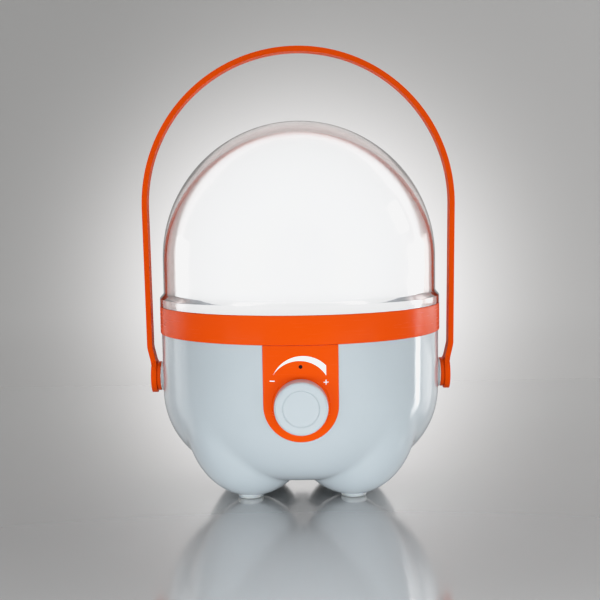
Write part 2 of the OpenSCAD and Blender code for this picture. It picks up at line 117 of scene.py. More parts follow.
def meshObject(name, points, faces, smoothAngle=35):
    mesh = bpy.data.meshes.new(name)
    mesh.from_pydata([tuple(p) for p in points], [], faces)
    mesh.validate()
    work = bmesh.new()
    work.from_mesh(mesh)
    bmesh.ops.remove_doubles(work, verts=work.verts, dist=1e-6)
    bmesh.ops.dissolve_degenerate(work, edges=work.edges, dist=1e-7)
    bmesh.ops.recalc_face_normals(work, faces=work.faces)
    work.to_mesh(mesh)
    work.free()
    mesh.shade_smooth()
    mesh.set_sharp_from_angle(angle=math.radians(smoothAngle))
    piece = bpy.data.objects.new(name, mesh)
    bpy.context.scene.collection.objects.link(piece)
    return piece


def filleted(corners, steps=5):
    # an outline from corners (r, h, fillet radius), with an arc at each rounded corner
    outline = []
    count = len(corners)
    for i in range(count):
        here = Vector(corners[i][:2])
        radius = corners[i][2]
        before = Vector(corners[i - 1][:2]) - here
        after = Vector(corners[(i + 1) % count][:2]) - here
        if radius <= 0 or before.length < 1e-9 or after.length < 1e-9:
            outline.append(tuple(here))
            continue
        half = before.angle(after) / 2
        back = min(radius / math.tan(half), before.length * 0.49, after.length * 0.49)
        radius = back * math.tan(half)
        toCentre = (before.normalized() + after.normalized()).normalized()
        centre = here + toCentre * (radius / math.sin(half))
        first = here + before.normalized() * back - centre
        last = here + after.normalized() * back - centre
        sweep = first.angle_signed(last)
        for k in range(steps + 1):
            spin = -sweep * k / steps
            c, s = math.cos(spin), math.sin(spin)
            outline.append((
                centre.x + first.x * c - first.y * s,
                centre.y + first.x * s + first.y * c,
            ))
    return outline


def arcPoints(radius, centreHeight, fromAngle, toAngle, steps):
    # points (r, h) on a circle about the axis at centreHeight; angles in degrees up from level
    found = []
    for k in range(steps + 1):
        a = math.radians(fromAngle + (toAngle - fromAngle) * k / steps)
        found.append((max(0.0, radius * math.cos(a)), centreHeight + radius * math.sin(a)))
    return found


def pointing(way, place):
    # turns a shape made along Z to the right, left, front or back, then moves it
    axis, degrees = {"right": ("Y", 90), "left": ("Y", -90), "front": ("X", 90), "back": ("X", -90)}[way]
    return Matrix.Translation(place) @ Matrix.Rotation(math.radians(degrees), 4, axis)


def revolved(name, outline, segments=96, place=Matrix.Identity(4), smoothAngle=35):
    # a closed outline of (r, h) turned about Z, then put in place
    points, faces = [], []
    count = len(outline)
    for s in range(segments):
        a = 2 * math.pi * s / segments
        for r, h in outline:
            points.append(place @ Vector((r * math.cos(a), r * math.sin(a), h)))
    for s in range(segments):
        t = (s + 1) % segments
        for i in range(count):
            j = (i + 1) % count
            if outline[i][0] < 1e-9 and outline[j][0] < 1e-9:
                continue
            faces.append((s * count + i, t * count + i, t * count + j, s * count + j))
    return meshObject(name, points, faces, smoothAngle)


def scaled(points):
    return [(p[0] * mm, p[1] * mm) + tuple(v * mm for v in p[2:]) for p in points]


def joined(name, pieces):
    # one object from several, kept at the origin
    work = bmesh.new()
    for piece in pieces:
        work.from_mesh(piece.data)
    mesh = bpy.data.meshes.new(name)
    work.to_mesh(mesh)
    work.free()
    mesh.set_sharp_from_angle(angle=math.radians(35))
    for piece in pieces:
        bpy.data.objects.remove(piece)
    result = bpy.data.objects.new(name, mesh)
    bpy.context.scene.collection.objects.link(result)
    return result


def plainMesh(piece):
    # the evaluated shape becomes the mesh, and no modifier is left
    shape = piece.evaluated_get(bpy.context.evaluated_depsgraph_get())
    mesh = bpy.data.meshes.new_from_object(shape)
    piece.modifiers.clear()
    piece.data = mesh
    return piece


def cutBy(piece, cutter):
    cut = piece.modifiers.new("cut", "BOOLEAN")
    cut.operation = "DIFFERENCE"
    cut.object = cutter
    cut.solver = "EXACT"
    plainMesh(piece)
    bpy.data.objects.remove(cutter)
    return piece


def prism(name, outline, low, high):
    # an outline of (x, y) raised from low to high
    count = len(outline)
    points = [(x, y, z) for z in (low, high) for x, y in outline]
    faces = [tuple(range(count)), tuple(range(count, 2 * count))]
    faces += [(i, (i + 1) % count, (i + 1) % count + count, i + count) for i in range(count)]
    return meshObject(name, points, faces)


def emptyMaterial(name):
    material = bpy.data.materials.new(name)
    material.use_nodes = True
    material.node_tree.nodes.clear()
    return material, material.node_tree


def spreadOut(tree, columns=6):
    # rows of nodes, left to right in the order they were made
    for index, node in enumerate(n for n in tree.nodes if n.type != "FRAME"):
        node.location = (260 * (index % columns), -320 * (index // columns))


def ringOf(name, unit, ring):
    # copies of a unit on a circle about the axis, with a fixed seed for how loosely each is turned
    tree = bpy.data.node_groups.new(name + "Ring", "GeometryNodeTree")
    tree.is_modifier = True
    face = tree.interface
    face.new_socket("Geometry", in_out="OUTPUT", socket_type="NodeSocketGeometry")
    inputs = {}
    for label, kind in (
        ("Unit", "NodeSocketObject"), ("Finish", "NodeSocketMaterial"), ("Count", "NodeSocketInt"),
        ("Ring radius", "NodeSocketFloat"), ("Height", "NodeSocketFloat"), ("First angle", "NodeSocketFloat"),
        ("Loose turn", "NodeSocketFloat"),
    ):
        inputs[label] = face.new_socket(label, in_out="INPUT", socket_type=kind).identifier
    circleFrame = tree.nodes.new("NodeFrame")
    circleFrame.label = "places on the circle"
    turnFrame = tree.nodes.new("NodeFrame")
    turnFrame.label = "how each copy is turned"

    sizes = tree.nodes.new("NodeGroupInput")
    sizes.label = "sizes of the ring"
    which = tree.nodes.new("GeometryNodeInputIndex")
    which.label = "which copy"
    which.parent = circleFrame
    share = tree.nodes.new("ShaderNodeMath")
    share.label = "share of the circle"
    share.parent = circleFrame
    share.operation = "DIVIDE"
    angle = tree.nodes.new("ShaderNodeMath")
    angle.label = "angle of the copy"
    angle.parent = circleFrame
    angle.operation = "MULTIPLY_ADD"
    angle.inputs[1].default_value = 2 * math.pi
    cosine = tree.nodes.new("ShaderNodeMath")
    cosine.label = "along x"
    cosine.parent = circleFrame
    cosine.operation = "COSINE"
    sine = tree.nodes.new("ShaderNodeMath")
    sine.label = "along y"
    sine.parent = circleFrame
    sine.operation = "SINE"
    outward = tree.nodes.new("ShaderNodeCombineXYZ")
    outward.label = "straight out"
    outward.parent = circleFrame
    reach = tree.nodes.new("ShaderNodeVectorMath")
    reach.label = "out by the ring radius"
    reach.parent = circleFrame
    reach.operation = "SCALE"
    lift = tree.nodes.new("ShaderNodeCombineXYZ")
    lift.label = "height of the ring"
    lift.parent = circleFrame
    spot = tree.nodes.new("ShaderNodeVectorMath")
    spot.label = "place of the copy"
    spot.parent = circleFrame
    spot.operation = "ADD"
    points = tree.nodes.new("GeometryNodePoints")
    points.label = "one point for each copy"
    points.parent = circleFrame
    aim = tree.nodes.new("FunctionNodeAlignRotationToVector")
    aim.label = "face out from the axis"
    aim.parent = turnFrame
    aim.axis = ring["facing"]
    if ring["facing"] == "X":
        aim.pivot_axis = "Z"
    loose = tree.nodes.new("FunctionNodeRandomValue")
    loose.label = "how far each was tightened"
    loose.parent = turnFrame
    loose.data_type = "FLOAT"
    loose.inputs["Seed"].default_value = 7
    about = tree.nodes.new("ShaderNodeCombineXYZ")
    about.label = "about its own axis"
    about.parent = turnFrame
    spin = tree.nodes.new("FunctionNodeEulerToRotation")
    spin.label = "as a turn"
    spin.parent = turnFrame
    turned = tree.nodes.new("FunctionNodeRotateRotation")
    turned.label = "aimed, then tightened"
    turned.parent = turnFrame
    turned.rotation_space = "LOCAL"
    shape = tree.nodes.new("GeometryNodeObjectInfo")
    shape.label = "the unit"
    copies = tree.nodes.new("GeometryNodeInstanceOnPoints")
    copies.label = "a copy at each place"
    real = tree.nodes.new("GeometryNodeRealizeInstances")
    real.label = "real mesh"
    finish = tree.nodes.new("GeometryNodeSetMaterial")
    finish.label = "finish"
    result = tree.nodes.new("NodeGroupOutput")
    result.label = "the whole ring"

    tree.links.new(which.outputs["Index"], share.inputs[0])
    tree.links.new(sizes.outputs["Count"], share.inputs[1])
    tree.links.new(share.outputs["Value"], angle.inputs[0])
    tree.links.new(sizes.outputs["First angle"], angle.inputs[2])
    tree.links.new(angle.outputs["Value"], cosine.inputs[0])
    tree.links.new(angle.outputs["Value"], sine.inputs[0])
    tree.links.new(cosine.outputs["Value"], outward.inputs["X"])
    tree.links.new(sine.outputs["Value"], outward.inputs["Y"])
    tree.links.new(outward.outputs["Vector"], reach.inputs[0])
    tree.links.new(sizes.outputs["Ring radius"], reach.inputs["Scale"])
    tree.links.new(sizes.outputs["Height"], lift.inputs["Z"])
    tree.links.new(reach.outputs["Vector"], spot.inputs[0])
    tree.links.new(lift.outputs["Vector"], spot.inputs[1])
    tree.links.new(sizes.outputs["Count"], points.inputs["Count"])
    tree.links.new(spot.outputs["Vector"], points.inputs["Position"])
    tree.links.new(outward.outputs["Vector"], aim.inputs["Vector"])
    tree.links.new(sizes.outputs["Loose turn"], loose.inputs[3])
    tree.links.new(loose.outputs[1], about.inputs["Z"])
    tree.links.new(about.outputs["Vector"], spin.inputs["Euler"])
    tree.links.new(aim.outputs["Rotation"], turned.inputs["Rotation"])
    tree.links.new(spin.outputs["Rotation"], turned.inputs["Rotate By"])
    tree.links.new(sizes.outputs["Unit"], shape.inputs["Object"])
    tree.links.new(points.outputs["Points"], copies.inputs["Points"])
    tree.links.new(shape.outputs["Geometry"], copies.inputs["Instance"])
    tree.links.new(turned.outputs["Rotation"], copies.inputs["Rotation"])
    tree.links.new(copies.outputs["Instances"], real.inputs["Geometry"])
    tree.links.new(real.outputs["Geometry"], finish.inputs["Geometry"])
    tree.links.new(sizes.outputs["Finish"], finish.inputs["Material"])
    tree.links.new(finish.outputs["Geometry"], result.inputs["Geometry"])
    spreadOut(tree, 7)

    piece = bpy.data.objects.new(name, bpy.data.meshes.new(name))
    bpy.context.scene.collection.objects.link(piece)
    laid = piece.modifiers.new("ring", "NODES")
    laid.node_group = tree
    laid[inputs["Unit"]] = unit
    laid[inputs["Finish"]] = ring["finish"]
    laid[inputs["Count"]] = ring["count"]
    laid[inputs["Ring radius"]] = ring["radius"]
    laid[inputs["Height"]] = ring["height"]
    laid[inputs["First angle"]] = math.radians(ring["firstAngle"])
    laid[inputs["Loose turn"]] = ring["looseTurn"]
    plainMesh(piece)
    return piece


def finished(piece, material, body, nodes=()):
    # gives a piece its finish and its body, and hides the CAD nodes that it stands for
    piece.data.materials.clear()
    piece.data.materials.append(material)
    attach(piece, body)
    if nodes:
        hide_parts(*nodes)
    return piece


def mouldedPlastic(name, finish):
    material, tree = emptyMaterial(name)
    colourFrame = tree.nodes.new("NodeFrame")
    colourFrame.label = "resin colour"
    skinFrame = tree.nodes.new("NodeFrame")
    skinFrame.label = "moulded skin"
    wearFrame = tree.nodes.new("NodeFrame")
    wearFrame.label = "handling"

    place = tree.nodes.new("ShaderNodeTexCoord")
    place.label = "place on the piece"

    drift = tree.nodes.new("ShaderNodeTexNoise")
    drift.label = "slow drift of the resin"
    drift.parent = colourFrame
    drift.inputs["Scale"].default_value = finish["driftScale"]
    drift.inputs["Detail"].default_value = 2.0

    tone = tree.nodes.new("ShaderNodeValToRGB")
    tone.label = "paler and deeper resin"
    tone.parent = colourFrame
    deep = [c * (1 - finish["driftDepth"]) for c in finish["colour"]]
    pale = [min(1.0, c * (1 + finish["driftDepth"])) for c in finish["colour"]]
    tone.color_ramp.elements[0].position = 0.35
    tone.color_ramp.elements[0].color = (*deep, 1)
    tone.color_ramp.elements[1].position = 0.65
    tone.color_ramp.elements[1].color = (*pale, 1)

    bends = tree.nodes.new("ShaderNodeNewGeometry")
    bends.label = "edges of the piece"
    bends.parent = wearFrame

    rubbed = tree.nodes.new("ShaderNodeValToRGB")
    rubbed.label = "only the sharpest edges"
    rubbed.parent = wearFrame
    rubbed.color_ramp.elements[0].position = 0.53
    rubbed.color_ramp.elements[0].color = (0, 0, 0, 1)
    rubbed.color_ramp.elements[1].position = 0.62
    rubbed.color_ramp.elements[1].color = (1, 1, 1, 1)

    rubAmount = tree.nodes.new("ShaderNodeMath")
    rubAmount.label = "how much the edges are rubbed"
    rubAmount.parent = wearFrame
    rubAmount.operation = "MULTIPLY"
    rubAmount.inputs[1].default_value = finish["edgeWear"]

    worn = tree.nodes.new("ShaderNodeMix")
    worn.label = "edges rubbed paler"
    worn.parent = wearFrame
    worn.data_type = "RGBA"
    worn.inputs[7].default_value = (*finish["wornColour"], 1)

    wave = tree.nodes.new("ShaderNodeTexNoise")
    wave.label = "faint sink and flow of the mould"
    wave.parent = skinFrame
    wave.inputs["Scale"].default_value = finish["waveScale"]
    wave.inputs["Detail"].default_value = 1.0

    waveBump = tree.nodes.new("ShaderNodeBump")
    waveBump.label = "flow as relief"
    waveBump.parent = skinFrame
    waveBump.inputs["Strength"].default_value = 1.0
    waveBump.inputs["Distance"].default_value = finish["waveDepth"]

    grain = tree.nodes.new("ShaderNodeTexNoise")
    grain.label = "fine grain of the tool"
    grain.parent = skinFrame
    grain.inputs["Scale"].default_value = finish["grainScale"]
    grain.inputs["Detail"].default_value = 4.0

    grainBump = tree.nodes.new("ShaderNodeBump")
    grainBump.label = "grain as relief"
    grainBump.parent = skinFrame
    grainBump.inputs["Strength"].default_value = 1.0
    grainBump.inputs["Distance"].default_value = finish["grainDepth"]

    stretch = tree.nodes.new("ShaderNodeMapping")
    stretch.label = "wipe marks run one way"
    stretch.parent = wearFrame
    stretch.inputs["Rotation"].default_value = (0.3, 0.6, 0.4)
    stretch.inputs["Scale"].default_value = (1.0, 1.0, 14.0)

    wipes = tree.nodes.new("ShaderNodeTexNoise")
    wipes.label = "faint wipe marks"
    wipes.parent = wearFrame
    wipes.inputs["Scale"].default_value = 60.0
    wipes.inputs["Detail"].default_value = 6.0
    wipes.inputs["Roughness"].default_value = 0.65

    shine = tree.nodes.new("ShaderNodeMapRange")
    shine.label = "gloss from wipe marks"
    shine.parent = wearFrame
    shine.inputs["From Min"].default_value = 0.3
    shine.inputs["From Max"].default_value = 0.75
    shine.inputs["To Min"].default_value = finish["roughness"][0]
    shine.inputs["To Max"].default_value = finish["roughness"][1]

    plastic = tree.nodes.new("ShaderNodeBsdfPrincipled")
    plastic.label = "plastic"
    plastic.inputs["IOR"].default_value = finish["bend"]
    plastic.inputs["Specular IOR Level"].default_value = finish["specular"]
    plastic.inputs["Coat Weight"].default_value = finish["coat"]
    plastic.inputs["Coat Roughness"].default_value = finish["coatRoughness"]
    plastic.inputs["Subsurface Weight"].default_value = finish["depthGlow"]
    plastic.inputs["Subsurface Radius"].default_value = (1.0, 0.8, 0.7)
    plastic.inputs["Subsurface Scale"].default_value = 0.0015

    surface = tree.nodes.new("ShaderNodeOutputMaterial")
    surface.label = "surface"

    tree.links.new(place.outputs["Object"], drift.inputs["Vector"])
    tree.links.new(drift.outputs["Fac"], tone.inputs["Fac"])
    tree.links.new(bends.outputs["Pointiness"], rubbed.inputs["Fac"])
    tree.links.new(rubbed.outputs["Color"], rubAmount.inputs[0])
    tree.links.new(rubAmount.outputs["Value"], worn.inputs[0])
    tree.links.new(tone.outputs["Color"], worn.inputs[6])
    tree.links.new(worn.outputs[2], plastic.inputs["Base Color"])
    tree.links.new(place.outputs["Object"], wave.inputs["Vector"])
    tree.links.new(wave.outputs["Fac"], waveBump.inputs["Height"])
    tree.links.new(place.outputs["Object"], grain.inputs["Vector"])
    tree.links.new(grain.outputs["Fac"], grainBump.inputs["Height"])
    tree.links.new(waveBump.outputs["Normal"], grainBump.inputs["Normal"])
    tree.links.new(grainBump.outputs["Normal"], plastic.inputs["Normal"])
    tree.links.new(place.outputs["Object"], stretch.inputs["Vector"])
    tree.links.new(stretch.outputs["Vector"], wipes.inputs["Vector"])
    tree.links.new(wipes.outputs["Fac"], shine.inputs["Value"])
    tree.links.new(shine.outputs["Result"], plastic.inputs["Roughness"])
    tree.links.new(plastic.outputs["BSDF"], surface.inputs["Surface"])
    spreadOut(tree)
    return material


clearDome = {
    "tint": (0.71, 0.63, 0.615), "depthTint": (0.70, 0.635, 0.61), "depthDensity": 20.0,
    "roughness": (0.07, 0.13), "rippleDepth": 0.00008, "bend": 1.49,
}


def clearPlastic(name, finish):
    material, tree = emptyMaterial(name)
    skinFrame = tree.nodes.new("NodeFrame")
    skinFrame.label = "polished skin"
    bodyFrame = tree.nodes.new("NodeFrame")
    bodyFrame.label = "tint in the thickness"

    place = tree.nodes.new("ShaderNodeTexCoord")
    place.label = "place on the dome"

    ripple = tree.nodes.new("ShaderNodeTexNoise")
    ripple.label = "slow ripple of a moulded dome"
    ripple.parent = skinFrame
    ripple.inputs["Scale"].default_value = 22.0
    ripple.inputs["Detail"].default_value = 1.0

    rippleBump = tree.nodes.new("ShaderNodeBump")
    rippleBump.label = "ripple as relief"
    rippleBump.parent = skinFrame
    rippleBump.inputs["Strength"].default_value = 1.0
    rippleBump.inputs["Distance"].default_value = finish["rippleDepth"]

    haze = tree.nodes.new("ShaderNodeTexNoise")
    haze.label = "handling haze"
    haze.parent = skinFrame
    haze.inputs["Scale"].default_value = 35.0
    haze.inputs["Detail"].default_value = 8.0
    haze.inputs["Roughness"].default_value = 0.7

    shine = tree.nodes.new("ShaderNodeMapRange")
    shine.label = "gloss from haze"
    shine.parent = skinFrame
    shine.inputs["From Min"].default_value = 0.35
    shine.inputs["From Max"].default_value = 0.75
    shine.inputs["To Min"].default_value = finish["roughness"][0]
    shine.inputs["To Max"].default_value = finish["roughness"][1]

    clear = tree.nodes.new("ShaderNodeBsdfPrincipled")
    clear.label = "clear plastic"
    clear.inputs["Base Color"].default_value = (*finish["tint"], 1)
    clear.inputs["IOR"].default_value = finish["bend"]
    clear.inputs["Transmission Weight"].default_value = 1.0

    tint = tree.nodes.new("ShaderNodeVolumeAbsorption")
    tint.label = "pink grey tint of thick plastic"
    tint.parent = bodyFrame
    tint.inputs["Color"].default_value = (*finish["depthTint"], 1)
    tint.inputs["Density"].default_value = finish["depthDensity"]

    surface = tree.nodes.new("ShaderNodeOutputMaterial")
    surface.label = "surface and volume"

    tree.links.new(place.outputs["Object"], ripple.inputs["Vector"])
    tree.links.new(ripple.outputs["Fac"], rippleBump.inputs["Height"])
    tree.links.new(rippleBump.outputs["Normal"], clear.inputs["Normal"])
    tree.links.new(place.outputs["Object"], haze.inputs["Vector"])
    tree.links.new(haze.outputs["Fac"], shine.inputs["Value"])
    tree.links.new(shine.outputs["Result"], clear.inputs["Roughness"])
    tree.links.new(clear.outputs["BSDF"], surface.inputs["Surface"])
    tree.links.new(tint.outputs["Volume"], surface.inputs["Volume"])
    spreadOut(tree)
    return material


litOpal = {
    "colour": (0.05, 0.05, 0.05), "light": (0.84, 0.964, 1.0), "power": 1.69,
    "footLevel": 0.82, "footHeight": 14 * mm,  # dimmer where the diffuser meets the deck
    "milkiness": (0.985, 1.015), "roughness": 0.45, "specular": 0.25, "grainDepth": 0.00001,
}


def opalPlastic(name, finish):
    material, tree = emptyMaterial(name)
    glowFrame = tree.nodes.new("NodeFrame")
    glowFrame.label = "light from inside"
    skinFrame = tree.nodes.new("NodeFrame")
    skinFrame.label = "satin skin"

    place = tree.nodes.new("ShaderNodeTexCoord")
    place.label = "place on the diffuser"

    cloud = tree.nodes.new("ShaderNodeTexNoise")
    cloud.label = "uneven milkiness"
    cloud.parent = glowFrame
    cloud.inputs["Scale"].default_value = 18.0
    cloud.inputs["Detail"].default_value = 3.0

    heights = tree.nodes.new("ShaderNodeSeparateXYZ")
    heights.label = "height on the diffuser"
    heights.parent = glowFrame

    rise = tree.nodes.new("ShaderNodeMapRange")
    rise.label = "dimmer at the foot"
    rise.parent = glowFrame
    rise.inputs["From Min"].default_value = opalBox[0].z
    rise.inputs["From Max"].default_value = opalBox[0].z + finish["footHeight"]
    rise.inputs["To Min"].default_value = finish["footLevel"]
    rise.inputs["To Max"].default_value = 1.0

    milk = tree.nodes.new("ShaderNodeMapRange")
    milk.label = "how much milkiness shows"
    milk.parent = glowFrame
    milk.inputs["To Min"].default_value = finish["milkiness"][0]
    milk.inputs["To Max"].default_value = finish["milkiness"][1]

    level = tree.nodes.new("ShaderNodeMath")
    level.label = "brightness over the dome"
    level.parent = glowFrame
    level.operation = "MULTIPLY"

    power = tree.nodes.new("ShaderNodeMath")
    power.label = "lamp setting"
    power.parent = glowFrame
    power.operation = "MULTIPLY"
    power.inputs[1].default_value = finish["power"]

    grain = tree.nodes.new("ShaderNodeTexNoise")
    grain.label = "satin grain"
    grain.parent = skinFrame
    grain.inputs["Scale"].default_value = 2500.0

    grainBump = tree.nodes.new("ShaderNodeBump")
    grainBump.label = "grain as relief"
    grainBump.parent = skinFrame
    grainBump.inputs["Distance"].default_value = finish["grainDepth"]

    opal = tree.nodes.new("ShaderNodeBsdfPrincipled")
    opal.label = "opal plastic"
    opal.inputs["Base Color"].default_value = (*finish["colour"], 1)
    opal.inputs["Roughness"].default_value = finish["roughness"]
    opal.inputs["IOR"].default_value = 1.49
    opal.inputs["Specular IOR Level"].default_value = finish["specular"]
    opal.inputs["Emission Color"].default_value = (*finish["light"], 1)

    surface = tree.nodes.new("ShaderNodeOutputMaterial")
    surface.label = "surface"

    tree.links.new(place.outputs["Object"], cloud.inputs["Vector"])
    tree.links.new(place.outputs["Object"], heights.inputs["Vector"])
    tree.links.new(heights.outputs["Z"], rise.inputs["Value"])
    tree.links.new(cloud.outputs["Fac"], milk.inputs["Value"])
    tree.links.new(rise.outputs["Result"], level.inputs[0])
    tree.links.new(milk.outputs["Result"], level.inputs[1])
    tree.links.new(level.outputs["Value"], power.inputs[0])
    tree.links.new(power.outputs["Value"], opal.inputs["Emission Strength"])
    tree.links.new(place.outputs["Object"], grain.inputs["Vector"])
    tree.links.new(grain.outputs["Fac"], grainBump.inputs["Height"])
    tree.links.new(grainBump.outputs["Normal"], opal.inputs["Normal"])
    tree.links.new(opal.outputs["BSDF"], surface.inputs["Surface"])
    spreadOut(tree)
    return material


def platedMetal(name, finish):
    material, tree = emptyMaterial(name)
    colourFrame = tree.nodes.new("NodeFrame")
    colourFrame.label = "colour of the plating"
    toolFrame = tree.nodes.new("NodeFrame")
    toolFrame.label = "tool marks"

    place = tree.nodes.new("ShaderNodeTexCoord")
    place.label = "place on the part"

    cloud = tree.nodes.new("ShaderNodeTexNoise")
    cloud.label = "cloudy plating"
    cloud.parent = colourFrame
    cloud.inputs["Scale"].default_value = finish["cloudScale"]
    cloud.inputs["Detail"].default_value = 5.0

    tone = tree.nodes.new("ShaderNodeValToRGB")
    tone.label = "bright metal to tarnish"
    tone.parent = colourFrame
    tone.color_ramp.elements[0].position = 0.3
    tone.color_ramp.elements[0].color = (*finish["tarnish"], 1)
    tone.color_ramp.elements[1].position = 0.6
    tone.color_ramp.elements[1].color = (*finish["colour"], 1)

    along = tree.nodes.new("ShaderNodeMapping")
    along.label = "marks run along the stock"
    along.parent = toolFrame
    along.inputs["Scale"].default_value = finish["markStretch"]

    scratch = tree.nodes.new("ShaderNodeTexNoise")
    scratch.label = "drawn and turned marks"
    scratch.parent = toolFrame
    scratch.inputs["Scale"].default_value = finish["markScale"]
    scratch.inputs["Detail"].default_value = 6.0
    scratch.inputs["Roughness"].default_value = 0.7

    scratchBump = tree.nodes.new("ShaderNodeBump")
    scratchBump.label = "marks as relief"
    scratchBump.parent = toolFrame
    scratchBump.inputs["Distance"].default_value = finish["markDepth"]

    shine = tree.nodes.new("ShaderNodeMapRange")
    shine.label = "gloss from the marks"
    shine.parent = toolFrame
    shine.inputs["From Min"].default_value = 0.3
    shine.inputs["From Max"].default_value = 0.7
    shine.inputs["To Min"].default_value = finish["roughness"][0]
    shine.inputs["To Max"].default_value = finish["roughness"][1]

    metal = tree.nodes.new("ShaderNodeBsdfPrincipled")
    metal.label = "metal"
    metal.inputs["Metallic"].default_value = 1.0

    surface = tree.nodes.new("ShaderNodeOutputMaterial")
    surface.label = "surface"

    tree.links.new(place.outputs["Object"], cloud.inputs["Vector"])
    tree.links.new(cloud.outputs["Fac"], tone.inputs["Fac"])
    tree.links.new(tone.outputs["Color"], metal.inputs["Base Color"])
    tree.links.new(place.outputs["Object"], along.inputs["Vector"])
    tree.links.new(along.outputs["Vector"], scratch.inputs["Vector"])
    tree.links.new(scratch.outputs["Fac"], scratchBump.inputs["Height"])
    tree.links.new(scratchBump.outputs["Normal"], metal.inputs["Normal"])
    tree.links.new(scratch.outputs["Fac"], shine.inputs["Value"])
    tree.links.new(shine.outputs["Result"], metal.inputs["Roughness"])
    tree.links.new(metal.outputs["BSDF"], surface.inputs["Surface"])
    spreadOut(tree)
    return material


def softRubber(name, finish):
    material, tree = emptyMaterial(name)
    colourFrame = tree.nodes.new("NodeFrame")
    colourFrame.label = "compound and dust"
    skinFrame = tree.nodes.new("NodeFrame")
    skinFrame.label = "skin of the rubber"

    place = tree.nodes.new("ShaderNodeTexCoord")
    place.label = "place on the part"

    blend = tree.nodes.new("ShaderNodeTexNoise")
    blend.label = "uneven compound"
    blend.parent = colourFrame
    blend.inputs["Scale"].default_value = finish["blendScale"]
    blend.inputs["Detail"].default_value = 2.0

    tone = tree.nodes.new("ShaderNodeValToRGB")
    tone.label = "compound colour"
    tone.parent = colourFrame
    tone.color_ramp.elements[0].position = 0.35
    tone.color_ramp.elements[0].color = (*[c * 0.88 for c in finish["colour"]], 1)
    tone.color_ramp.elements[1].position = 0.65
    tone.color_ramp.elements[1].color = (*finish["colour"], 1)

    dust = tree.nodes.new("ShaderNodeTexNoise")
    dust.label = "dust that clings"
    dust.parent = colourFrame
    dust.inputs["Scale"].default_value = finish["dustScale"]
    dust.inputs["Detail"].default_value = 8.0
    dust.inputs["Roughness"].default_value = 0.75

    dustAmount = tree.nodes.new("ShaderNodeMapRange")
    dustAmount.label = "only the dustiest spots"
    dustAmount.parent = colourFrame
    dustAmount.inputs["From Min"].default_value = 0.55
    dustAmount.inputs["From Max"].default_value = 0.8
    dustAmount.inputs["To Max"].default_value = finish["dust"]

    dusty = tree.nodes.new("ShaderNodeMix")
    dusty.label = "dust over the colour"
    dusty.parent = colourFrame
    dusty.data_type = "RGBA"
    dusty.inputs[7].default_value = (0.55, 0.53, 0.5, 1)

    pebble = tree.nodes.new("ShaderNodeTexVoronoi")
    pebble.label = "fine pebble of the mould"
    pebble.parent = skinFrame
    pebble.inputs["Scale"].default_value = finish["pebbleScale"]

    pebbleBump = tree.nodes.new("ShaderNodeBump")
    pebbleBump.label = "pebble as relief"
    pebbleBump.parent = skinFrame
    pebbleBump.inputs["Distance"].default_value = finish["pebbleDepth"]

    shine = tree.nodes.new("ShaderNodeMapRange")
    shine.label = "duller under the dust"
    shine.parent = skinFrame
    shine.inputs["To Min"].default_value = finish["roughness"][0]
    shine.inputs["To Max"].default_value = finish["roughness"][1]

    rubber = tree.nodes.new("ShaderNodeBsdfPrincipled")
    rubber.label = "rubber"
    rubber.inputs["IOR"].default_value = 1.42
    rubber.inputs["Transmission Weight"].default_value = finish["clearness"]
    rubber.inputs["Subsurface Weight"].default_value = finish["depthGlow"]
    rubber.inputs["Subsurface Radius"].default_value = (1.0, 0.9, 0.8)
    rubber.inputs["Subsurface Scale"].default_value = 0.002

    surface = tree.nodes.new("ShaderNodeOutputMaterial")
    surface.label = "surface"

    tree.links.new(place.outputs["Object"], blend.inputs["Vector"])
    tree.links.new(blend.outputs["Fac"], tone.inputs["Fac"])
    tree.links.new(place.outputs["Object"], dust.inputs["Vector"])
    tree.links.new(dust.outputs["Fac"], dustAmount.inputs["Value"])
    tree.links.new(dustAmount.outputs["Result"], dusty.inputs[0])
    tree.links.new(tone.outputs["Color"], dusty.inputs[6])
    tree.links.new(dusty.outputs[2], rubber.inputs["Base Color"])
    tree.links.new(place.outputs["Object"], pebble.inputs["Vector"])
    tree.links.new(pebble.outputs["Distance"], pebbleBump.inputs["Height"])
    tree.links.new(pebbleBump.outputs["Normal"], rubber.inputs["Normal"])
    tree.links.new(dust.outputs["Fac"], shine.inputs["Value"])
    tree.links.new(shine.outputs["Result"], rubber.inputs["Roughness"])
    tree.links.new(rubber.outputs["BSDF"], surface.inputs["Surface"])
    spreadOut(tree)
    return material


